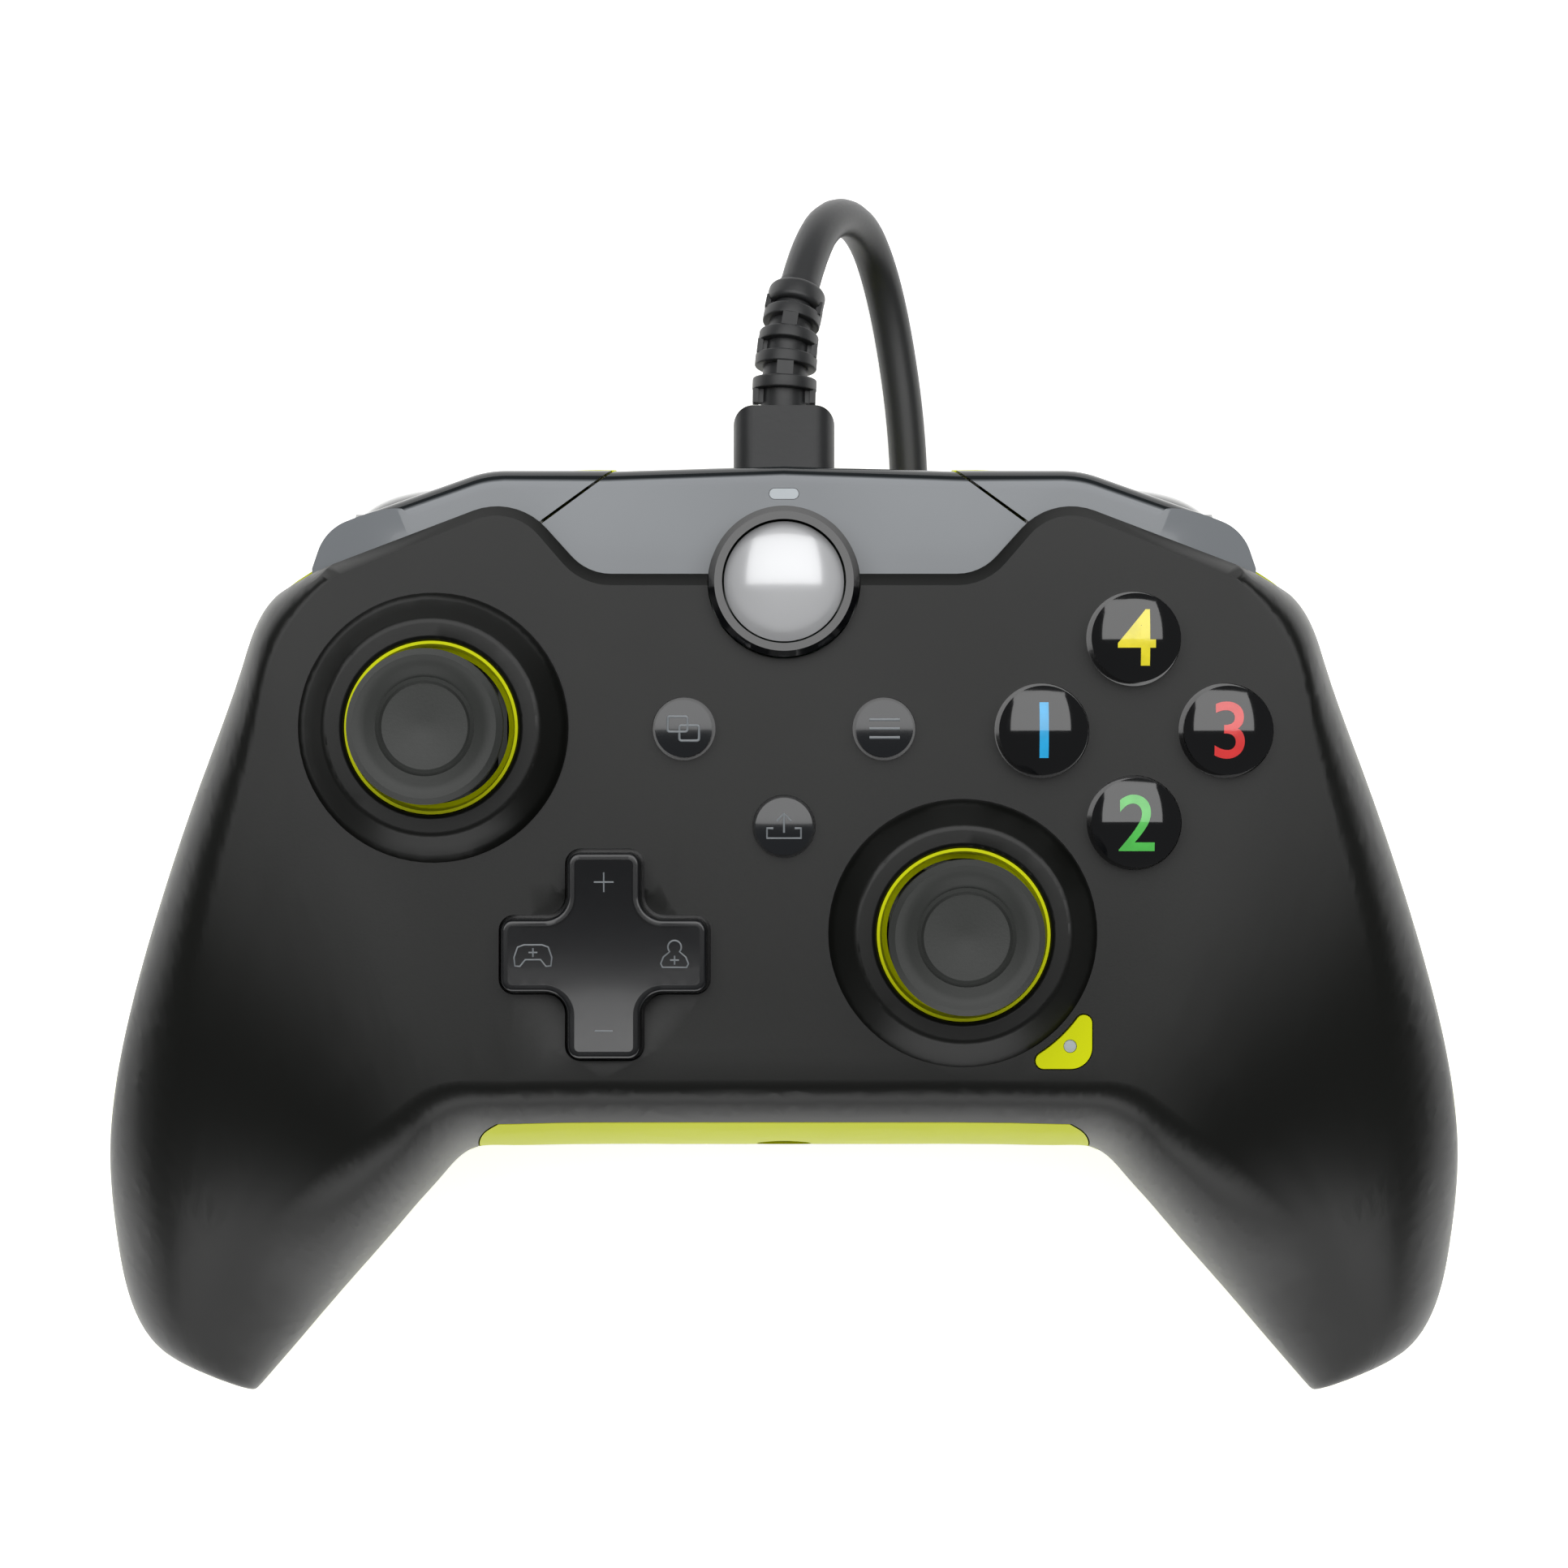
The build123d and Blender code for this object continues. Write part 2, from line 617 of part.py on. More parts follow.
def deck_wedge(sign, gap=0.0):
    """All that lies above the deck's fall towards one shoulder, raised by a gap."""
    far, top = HALF_WIDTH + OVERRUN, DECK_TOP + gap
    fall = (far - DECK_FALL_START) * tan(radians(DECK_FALL_DEGREES))
    start, end, above = sign * DECK_FALL_START, sign * far, top + OVERRUN
    with BuildPart() as wedge:
        with BuildSketch(Plane.XZ):
            with BuildLine():
                Polyline((start, top), (end, top - fall), (end, above), (start, above), close=True)
            make_face()
        extrude(amount=BODY_LENGTH, both=True)
    return wedge.part


def disc(place, radius, bottom, top):
    """A plain upright cylinder."""
    with BuildPart() as body:
        with BuildSketch(Plane.XY.offset(bottom)):
            with Locations(place):
                Circle(radius)
        extrude(amount=top - bottom)
    return body.part


def badge_plan(grow):
    """The badge's outline: a square corner with a hollow curve about the right stick."""
    stick_x, stick_y = in_plan(STICK_SHARES["right"])
    with BuildSketch() as region:
        with Locations((stick_x, stick_y - BADGE_DROP)):
            Rectangle(BADGE_EDGE, BADGE_DROP, align=(Align.MIN, Align.MIN))
        with Locations((stick_x, stick_y)):
            Circle(BADGE_CURVE_RADIUS, mode=Mode.SUBTRACT)
        fillet(region.vertices().sort_by(lambda v: v.X - v.Y)[:-1], BADGE_TIP_RADIUS)
        fillet(region.vertices().sort_by(lambda v: v.X - v.Y)[-1], BADGE_CORNER_RADIUS)
        if grow:
            offset(amount=grow)
    return region.sketch


stick_places = {side: in_plan(share) for side, share in STICK_SHARES.items()}
dpad_place = in_plan(DPAD_SHARES)
cluster_place = in_plan(CLUSTER_SHARES)
small_places = {name: in_plan(share) for name, share in SMALL_BUTTON_SHARES.items()}
guide_place = in_plan(GUIDE_SHARES)
light_place = in_plan(LIGHT_SHARES)
screw_places = [(x * side, y) for x, y in (in_plan(s) for s in SCREW_SHARES) for side in (1, -1)]
screw_splits = [split for split in POST_SPLITS for side in (1, -1)]
screw_seats = [split + SCREW_DEPTH - SCREW_LENGTH for split in screw_splits]
face_button_places = {
    name: (cluster_place[0] + dx * CLUSTER_SPACING, cluster_place[1] + dy * CLUSTER_SPACING)
    for name, (dx, dy) in FACE_BUTTONS.items()
}

jack_height = BOARD_BOTTOM - JACK_BODY[2] / 2
jack_mouth = PLAN_SHARES[0][1] * HALF_LENGTH + JACK_RECESS
jack_bore_room = rod((0, jack_mouth, jack_height), (0, 1, 0), JACK_RADIUS + SEAM_GAP, 2 * WALL + SEAM_GAP)


# Front casing: the face, with its collars, wells and button holes
collar_bottom = FACE_UNDERSIDE + SEAM_GAP
stick_collar_points = (
    (STICK_OPENING_RADIUS, collar_bottom), (STICK_OPENING_RADIUS, FACE_HEIGHT + COLLAR_RISE),
    (COLLAR_RADIUS, FACE_HEIGHT + COLLAR_RISE), (COLLAR_FOOT_RADIUS, FACE_HEIGHT),
    (COLLAR_FOOT_RADIUS, collar_bottom),
)
stick_collar_radii = (0.0, 0.6, 1.2, 2.5, 0.0)
top_of_cuts = FACE_HEIGHT + COLLAR_RISE + OVERRUN
dish_ball_radius = (DPAD_DISH_RADIUS**2 + DPAD_DISH_DEPTH**2) / (2 * DPAD_DISH_DEPTH)
dpad_seat_bottom = FACE_HEIGHT - DPAD_DISH_DEPTH - WALL


def dpad_plan(gap):
    """The direction pad's cross, grown by a gap, with its ends and its inner corners rounded."""
    def reach(v):
        return max(abs(v.X - dpad_place[0]), abs(v.Y - dpad_place[1]))

    with BuildSketch() as cross:
        with Locations(dpad_place):
            Rectangle(DPAD_SPAN + 2 * gap, DPAD_ARM + 2 * gap)
            Rectangle(DPAD_ARM + 2 * gap, DPAD_SPAN + 2 * gap)
        fillet(cross.vertices().filter_by(lambda v: reach(v) < DPAD_ARM), DPAD_INNER_CORNER - gap)
        fillet(cross.vertices().filter_by(lambda v: reach(v) > DPAD_ARM), DPAD_ARM_CORNER + gap)
    return cross.sketch


with BuildSketch() as round_holes:
    with Locations(*face_button_places.values()):
        Circle(FACE_BUTTON_RADIUS + BUTTON_GAP)
    with Locations(*small_places.values()):
        Circle(SMALL_BUTTON_RADIUS + BUTTON_GAP)
    with Locations(guide_place):
        Circle(GUIDE_RING_RADIUS + SEAM_GAP)
    with Locations(*stick_places.values()):
        Circle(STICK_OPENING_RADIUS)

with BuildSketch() as button_rims:
    with Locations(*face_button_places.values()):
        Circle(FACE_BUTTON_RADIUS + BUTTON_GAP + BUTTON_CHAMFER)
    with Locations(*small_places.values()):
        Circle(SMALL_BUTTON_RADIUS + BUTTON_GAP + BUTTON_CHAMFER)

with BuildSketch() as pocket_limits:
    with Locations((0, HALF_LENGTH)):
        Rectangle(2 * POCKET_END, HALF_LENGTH + OVERRUN)
with BuildSketch() as deck_pocket:
    add(beyond_lip(POCKET_REACH))
    add(pocket_limits.sketch, mode=Mode.INTERSECT)
with BuildPart() as deck_room:
    add(column(deck_pocket.sketch, BRIDGE_BOTTOM, DECK_TOP + SLIDE_GAP))
    for sign in SIDES.values():
        add(deck_wedge(sign, SLIDE_GAP), mode=Mode.SUBTRACT)

strip_plan = both_halves(STRIP_SHARES, STRIP_RADII)

with BuildPart() as upper_ribs:
    for place, split in zip(screw_places, screw_splits):
        add(disc(place, POST_RADIUS, split, FACE_UNDERSIDE + SEAM_GAP))
    add(body_solid, mode=Mode.INTERSECT)
    add(disc(dpad_place, DPAD_SEAT_RADIUS, dpad_seat_bottom, FACE_UNDERSIDE + SEAM_GAP))

with BuildPart() as front_extras:
    for place in stick_places.values():
        add(turned_form(place, stick_collar_points, stick_collar_radii))
    add(upper_ribs.part)

with BuildPart() as front_cuts:
    with BuildSketch(Plane.XY.offset(dpad_seat_bottom - OVERRUN)):
        add(dpad_plan(DPAD_GAP))
        add(round_holes.sketch)
        add(badge_plan(SEAM_GAP))
    extrude(amount=top_of_cuts - dpad_seat_bottom + OVERRUN)
    with BuildSketch(Plane.XY.offset(FACE_HEIGHT - BUTTON_CHAMFER)):
        add(button_rims.sketch)
    extrude(amount=OVERRUN)
    with BuildPart(mode=Mode.PRIVATE) as dish:
        with Locations((*dpad_place, FACE_HEIGHT - DPAD_DISH_DEPTH + dish_ball_radius)):
            Sphere(dish_ball_radius)
        with Locations((*dpad_place, FACE_HEIGHT)):
            Cylinder(DPAD_DISH_RADIUS + OVERRUN, 2 * OVERRUN, mode=Mode.INTERSECT)
    add(dish.part)
    for place, seat in zip(screw_places, screw_seats):
        add(disc(place, SCREW_RADIUS, seat, seat + SCREW_LENGTH + SLIDE_GAP))
    add(column(strip_plan, 0, STRIP_HEIGHT))
    add(column(beyond_lip(0), 0, top_of_cuts))
    add(deck_room.part)

with BuildPart() as control_rooms:
    with BuildSketch(Plane.XY.offset(dpad_seat_bottom - OVERRUN)):
        with Locations(*face_button_places.values()):
            Circle(FACE_BUTTON_RADIUS + FLANGE_RIM + BUTTON_GAP)
        with Locations(*small_places.values()):
            Circle(SMALL_BUTTON_RADIUS + FLANGE_RIM + BUTTON_GAP)
        with Locations(*stick_places.values()):
            Circle(WELL_ROOM_RADIUS)
        add(badge_plan(BADGE_RIM + SEAM_GAP))
    extrude(amount=FACE_UNDERSIDE - dpad_seat_bottom + OVERRUN)

with BuildPart() as lip_bevel:
    with BuildSketch(Plane.XY.offset(FACE_HEIGHT - LIP_CHAMFER - LIP_FALL)):
        add(beyond_lip(0))
    extrude(amount=2 * LIP_CHAMFER, taper=-CHAMFER_DEGREES)

with BuildPart() as front_shell:
    add(body_solid)
    add(above_parting(), mode=Mode.INTERSECT)
    add(lining_solid, mode=Mode.SUBTRACT)
    add(front_extras.part)
    add(front_cuts.part, mode=Mode.SUBTRACT)
    add(control_rooms.part, mode=Mode.SUBTRACT)
    add(lip_bevel.part, mode=Mode.SUBTRACT)
keep(front_shell, "front_shell")


# Back casing: the belly and the grips, with the trigger pockets and the screw posts
bumper_pivot = in_plan(BUMPER_PIVOT_SHARES)
bridge_outline = both_halves(BRIDGE_SHARES)
bridge_corner = in_plan(BRIDGE_SHARES[1])
motor_x, motor_y = in_plan(MOTOR_SHARES)
motor_places = {side: (sign * motor_x, motor_y) for side, sign in SIDES.items()}
slot_span = TRIGGER_OUTER - TRIGGER_INNER + 2 * TRIGGER_SLOT_GAP
slot_middle = (TRIGGER_OUTER + TRIGGER_INNER) / 2
pocket_depth = HALF_LENGTH + OVERRUN - POCKET_BACK

with BuildPart() as inner_ribs:
    for place, split in zip(screw_places, screw_splits):
        add(disc(place, LOWER_POST_RADIUS, 0, split - SEAM_GAP))
    for sign in SIDES.values():
        pillar = (sign * bumper_pivot[0], bumper_pivot[1])
        add(disc(pillar, BUMPER_PILLAR_RADIUS, BRIDGE_BOTTOM - WALL, POCKET_TOP))
        with BuildSketch():
            with Locations((sign * slot_middle, POCKET_BACK - POCKET_WALL)):
                Rectangle(slot_span + 2 * POCKET_WALL, pocket_depth, align=(Align.CENTER, Align.MIN))
        extrude(amount=POCKET_TOP)
    for place in motor_places.values():
        add(disc(place, MOTOR_RADIUS + CRADLE_WALL, 0, MOTOR_BOTTOM + CRADLE_RISE))
    add(body_solid, mode=Mode.INTERSECT)

with BuildPart() as above_back_shell:
    add(above_parting(SEAM_GAP))
    with BuildSketch():
        add(strip_plan)
        offset(amount=-SEAM_GAP)
    extrude(amount=STRIP_HEIGHT - SEAM_GAP, mode=Mode.SUBTRACT)

with BuildPart() as back_cuts:
    for sign in SIDES.values():
        with BuildSketch(Plane.XY.offset(-OVERRUN)):
            with Locations((sign * slot_middle, POCKET_BACK)):
                Rectangle(slot_span, pocket_depth, align=(Align.CENTER, Align.MIN))
        extrude(amount=POCKET_TOP + 2 * OVERRUN)
    add(column(deck_pocket.sketch, POCKET_TOP, top_of_cuts))
    with BuildSketch(Plane.XY.offset(BRIDGE_BOTTOM - SEAM_GAP)):
        add(bridge_outline)
        with Locations((0, bridge_corner[1] + OVERRUN)):
            Rectangle(2 * bridge_corner[0], 2 * OVERRUN)
        offset(amount=SEAM_GAP)
    extrude(amount=POCKET_TOP)
    with BuildSketch(Plane.YZ.offset(-slot_middle - slot_span)):
        with Locations(TRIGGER_PIVOT):
            Circle(TRIGGER_PIN_RADIUS)
    extrude(amount=2 * (slot_middle + slot_span))
    with BuildSketch(Plane.XY.offset(MOTOR_BOTTOM - SEAM_GAP)):
        with Locations(*motor_places.values()):
            Circle(MOTOR_RADIUS + SEAM_GAP)
    extrude(amount=MOTOR_HEIGHT)
    for place, seat in zip(screw_places, screw_seats):
        add(disc(place, SCREW_HEAD_RADIUS + SLIDE_GAP, -OVERRUN, seat))
        add(disc(place, SCREW_RADIUS + SEAM_GAP, seat, BOARD_TOP))
    add(jack_bore_room)
    with BuildSketch(Plane.XY.offset(-2 * OVERRUN)):
        Rectangle(BODY_WIDTH + OVERRUN, BODY_LENGTH + OVERRUN)
    extrude(amount=2 * OVERRUN)

with BuildPart() as bumper_pins:
    with BuildSketch(Plane.XY.offset(POCKET_TOP)):
        with Locations(*[(sign * bumper_pivot[0], bumper_pivot[1]) for sign in SIDES.values()]):
            Circle(BUMPER_PIN_RADIUS)
    extrude(amount=BUMPER_PIN_TOP - POCKET_TOP)

with BuildPart() as back_shell:
    add(body_solid)
    add(lining_solid, mode=Mode.SUBTRACT)
    add(inner_ribs.part)
    add(above_back_shell.part, mode=Mode.SUBTRACT)
    add(back_cuts.part, mode=Mode.SUBTRACT)
    add(bumper_pins.part)
keep(back_shell, "back_shell")


# Glossy bridge between the bumpers
def outer_top_edges(part, top, lean):
    """The upper edges of a raised outline's walls that face the cable or the side."""
    walls = [f for f in part.faces() if f.normal_at().Y > lean and abs(f.normal_at().Z) < UPRIGHT_LEAN]
    edges = [f.edges().sort_by(Axis.Z)[-1] for f in walls]
    return [e for e in edges if abs(e.center().Z - top) < SEAM_GAP and e.center().Y > POCKET_BACK]


with BuildPart() as center_bridge:
    with BuildSketch(Plane.XY.offset(BRIDGE_BOTTOM)) as bridge_plan:
        add(beyond_lip(BRIDGE_REACH))
        add(bridge_outline, mode=Mode.INTERSECT)
    extrude(amount=DECK_TOP - BRIDGE_BOTTOM)
    fillet(outer_top_edges(center_bridge.part, DECK_TOP, BRIDGE_LEAN), BRIDGE_EDGE_RADIUS)
    with BuildSketch(Plane.XY.offset(BRIDGE_BOTTOM - OVERRUN)):
        add(bridge_plan.sketch)
        offset(amount=-DECK_WALL)
    hollow = DECK_TOP - BRIDGE_BOTTOM - DECK_WALL - BRIDGE_EDGE_RADIUS / 4
    extrude(amount=hollow + OVERRUN, mode=Mode.SUBTRACT)
    ring_room = disc(guide_place, GUIDE_RING_RADIUS + SEAM_GAP, BRIDGE_BOTTOM - OVERRUN, top_of_cuts)
    add(ring_room, mode=Mode.SUBTRACT)
    with BuildSketch(Plane.XY.offset(BRIDGE_BOTTOM)):
        with Locations(light_place):
            SlotOverall(LIGHT_LENGTH + 2 * RUNNING_GAP, LIGHT_WIDTH + 2 * RUNNING_GAP)
    extrude(amount=top_of_cuts - BRIDGE_BOTTOM, mode=Mode.SUBTRACT)
    with BuildSketch(Plane.XZ.offset(-HALF_LENGTH - OVERRUN)):
        with Locations((0, PLUG_HEIGHT)):
            room = (PLUG_WIDTH + 2 * SLIDE_GAP, PLUG_BODY_HEIGHT + 2 * SLIDE_GAP)
            RectangleRounded(*room, PLUG_CORNER + SLIDE_GAP)
    extrude(amount=HALF_LENGTH + OVERRUN - SOCKET_START, mode=Mode.SUBTRACT)
    with BuildSketch(Plane.XY.offset(BOARD_BOTTOM - SLIDE_GAP)):
        add(both_halves(BOARD_SHARES))
        offset(amount=SLIDE_GAP)
    extrude(amount=BOARD_THICKNESS + 2 * SLIDE_GAP, mode=Mode.SUBTRACT)
    for sign in SIDES.values():
        beyond = (sign * (slot_middle + slot_span), 0, POCKET_TOP / 2)
        add(block(beyond, (3 * slot_span, BODY_LENGTH, POCKET_TOP)), mode=Mode.SUBTRACT)
keep(center_bridge, "center_bridge")


# Bumpers, each swinging on an upright pin at its inner end
for side, sign in SIDES.items():
    pivot = (sign * bumper_pivot[0], bumper_pivot[1])
    with BuildPart() as bumper:
        with BuildSketch(Plane.XY.offset(BUMPER_BOTTOM)):
            add(beyond_lip(BUMPER_REACH))
            add(half_plan(BUMPER_SHARES, BUMPER_CORNERS, sign), mode=Mode.INTERSECT)
        extrude(amount=DECK_TOP - BUMPER_BOTTOM)
        fillet(outer_top_edges(bumper.part, DECK_TOP, UPRIGHT_LEAN), BUMPER_EDGE_RADIUS)
        add(deck_wedge(sign), mode=Mode.SUBTRACT)
        add(disc(pivot, BUMPER_PIN_RADIUS + RUNNING_GAP, 0, BUMPER_PIN_TOP + SLIDE_GAP), mode=Mode.SUBTRACT)
    keep(bumper, f"{side}_bumper")


# Triggers: curved shells on two webs, with their pins and return springs
def side_section(x, shares, setback):
    """The points of a side outline at one place across, moved back by a setback."""
    return [(x, y - setback, z) for y, z in (in_side(share) for share in shares)]


trigger_span = TRIGGER_OUTER - TRIGGER_INNER
web_starts = (TRIGGER_INNER + TRIGGER_WEB_INSET, TRIGGER_OUTER - TRIGGER_WEB_INSET - TRIGGER_WEB)
spring_ends = [TRIGGER_INNER + share * trigger_span for share in (SPRING_START_SHARE, SPRING_END_SHARE)]

for side, sign in SIDES.items():
    outlines = []
    for across_share, setback in TRIGGER_SETBACKS:
        x = sign * (TRIGGER_INNER + across_share * trigger_span)
        front = side_section(x, TRIGGER_FRONT_SHARES, setback)
        back = side_section(x, TRIGGER_BACK_SHARES, setback)
        with BuildLine():
            outlines.append(Wire([
                Edge.make_bezier(*front[:4]),
                Edge.make_bezier(*front[3:]),
                Edge.make_line(front[-1], back[-1]),
                Edge.make_bezier(*reversed(back[3:])),
                Edge.make_bezier(*reversed(back[:4])),
                Edge.make_line(back[0], front[0]),
            ]))
    with BuildPart() as trigger:
        add(Solid.make_loft(outlines))
        for start in web_starts:
            middle = (start - TRIGGER_INNER + TRIGGER_WEB / 2) / trigger_span
            rows = [row for row in TRIGGER_SETBACKS if row[0] <= middle]
            web_setback = rows[-1][1]
            web_points = [(y - web_setback, z) for y, z in (in_side(s) for s in WEB_FRONT_SHARES)]
            web_points += [
                (y - web_setback * share, z)
                for (y, z), share in zip([in_side(s) for s in WEB_BACK_SHARES], WEB_FOLLOW_SHARES)
            ]
            with BuildSketch(Plane.YZ.offset(sign * start)):
                with BuildLine():
                    Polyline(*web_points, close=True)
                make_face()
            extrude(amount=sign * TRIGGER_WEB)
        for start, end in ((TRIGGER_INNER, spring_ends[0]), (spring_ends[1], TRIGGER_OUTER)):
            with BuildSketch(Plane.YZ.offset(sign * start)):
                with Locations(TRIGGER_PIVOT):
                    Circle(TRIGGER_HUB_RADIUS)
            extrude(amount=sign * (end - start))
        with BuildSketch(Plane.YZ):
            with Locations(TRIGGER_PIVOT):
                Circle(TRIGGER_PIN_RADIUS + RUNNING_GAP)
        extrude(amount=sign * (TRIGGER_OUTER + OVERRUN), mode=Mode.SUBTRACT)
    keep(trigger, f"{side}_trigger")

with BuildPart() as trigger_pins:
    for sign in SIDES.values():
        with BuildSketch(Plane.YZ.offset(sign * (TRIGGER_INNER - TRIGGER_SLOT_GAP - POCKET_WALL))):
            with Locations(TRIGGER_PIVOT):
                Circle(TRIGGER_PIN_RADIUS - RUNNING_GAP)
        extrude(amount=sign * (slot_span + 2 * POCKET_WALL))
keep(trigger_pins, "trigger_pins")

with BuildPart() as trigger_springs:
    for sign in SIDES.values():
        with BuildSketch(Plane.YZ.offset(sign * (spring_ends[0] + SPRING_GAP))):
            with Locations(TRIGGER_PIVOT):
                Circle(SPRING_RADII[1])
                Circle(SPRING_RADII[0], mode=Mode.SUBTRACT)
        extrude(amount=sign * (spring_ends[1] - spring_ends[0] - 2 * SPRING_GAP))
keep(trigger_springs, "trigger_springs")


# Guide button in its ring, the light, and the badge with its small lamp
guide_ring_top = FACE_HEIGHT + GUIDE_RING_RISE
guide_gap = GUIDE_RADIUS + SLIDE_GAP - SEAM_GAP / 2

with BuildPart() as guide_bezel:
    with BuildSketch(Plane.XY.offset(guide_ring_top - GUIDE_RING_DEPTH)):
        with Locations(guide_place):
            Circle(GUIDE_RING_RADIUS)
    extrude(amount=GUIDE_RING_DEPTH)
    chamfer(guide_bezel.edges().sort_by(Axis.Z)[-1], GUIDE_RING_RISE / 2)
    add(disc(guide_place, GUIDE_BARREL[1], BOARD_TOP, guide_ring_top - GUIDE_RING_DEPTH))
    add(disc(guide_place, GUIDE_BARREL[0], BOARD_TOP, guide_ring_top - GUIDE_RING_DEPTH), mode=Mode.SUBTRACT)
    add(disc(guide_place, guide_gap, guide_ring_top - GUIDE_RING_DEPTH, top_of_cuts), mode=Mode.SUBTRACT)
keep(guide_bezel, "guide_bezel")


def round_outline(place, radius, top, dome, head_bottom, flange, stem_radius, bottom):
    """A domed button turned from its outline: head, flange and stem."""
    ball = (radius**2 + dome**2) / (2 * dome)
    rim = top - dome
    half = radius / 2
    middle = top - ball + (ball**2 - half**2) ** (1 / 2)
    with BuildPart() as button:
        with BuildSketch(upright(*place)):
            with BuildLine():
                ThreePointArc((0, top), (half, middle), (radius, rim))
                if flange:
                    wide, shelf = radius + flange[0], head_bottom + flange[1]
                    Polyline(
                        (radius, rim), (radius, shelf), (wide, shelf), (wide, head_bottom),
                        (stem_radius, head_bottom), (stem_radius, bottom), (0, bottom), (0, top),
                    )
                else:
                    Polyline(
                        (radius, rim), (radius, head_bottom),
                        (stem_radius, head_bottom), (stem_radius, bottom), (0, bottom), (0, top),
                    )
            make_face()
        revolve(axis=Axis((*place, 0), (0, 0, 1)))
    return button


guide_button = round_outline(
    guide_place, GUIDE_RADIUS, FACE_HEIGHT + GUIDE_BUTTON_RISE, GUIDE_BUTTON_DOME,
    guide_ring_top - GUIDE_RING_DEPTH, None, GUIDE_STEM_RADIUS, STEM_BOTTOM,
)
keep(guide_button, "guide_button")

with BuildPart() as status_lens:
    with BuildSketch(Plane.XY.offset(DECK_TOP + RUNNING_GAP - LIGHT_DEPTH)):
        with Locations(light_place):
            SlotOverall(LIGHT_LENGTH, LIGHT_WIDTH)
    extrude(amount=LIGHT_DEPTH)
keep(status_lens, "status_lens")

badge_light = (stick_places["right"][0] + BADGE_LIGHT[0], stick_places["right"][1] + BADGE_LIGHT[1])
badge_seat = FACE_UNDERSIDE - FLANGE_GAP
with BuildPart() as accent_badge:
    add(column(badge_plan(0), badge_seat - FLANGE_THICKNESS, FACE_HEIGHT + BADGE_RISE))
    add(column(badge_plan(BADGE_RIM), badge_seat - FLANGE_THICKNESS, badge_seat))
    add(disc(badge_light, BADGE_LIGHT_RADIUS, 0, top_of_cuts), mode=Mode.SUBTRACT)
keep(accent_badge, "accent_badge")

with BuildPart() as mic_light:
    light_top = FACE_HEIGHT + BADGE_RISE / 2
    add(disc(badge_light, BADGE_LIGHT_RADIUS - RUNNING_GAP, badge_seat - FLANGE_THICKNESS, light_top))
keep(mic_light, "mic_light")


# Stick modules, with the coloured ring inside each well
stick_pivot = BOARD_TOP + STICK_PIVOT_RISE
trunnion_end = FRAME_SPAN / 2 - RUNNING_GAP
arch_outer = ARCH_RADIUS + ARCH_THICKNESS


def swept_outline(place, shares, scale, base):
    """A ring or cap turned about a place from its table of radius and height shares."""
    return turned_form(place, [(r * scale, base + h * scale) for r, h in shares])


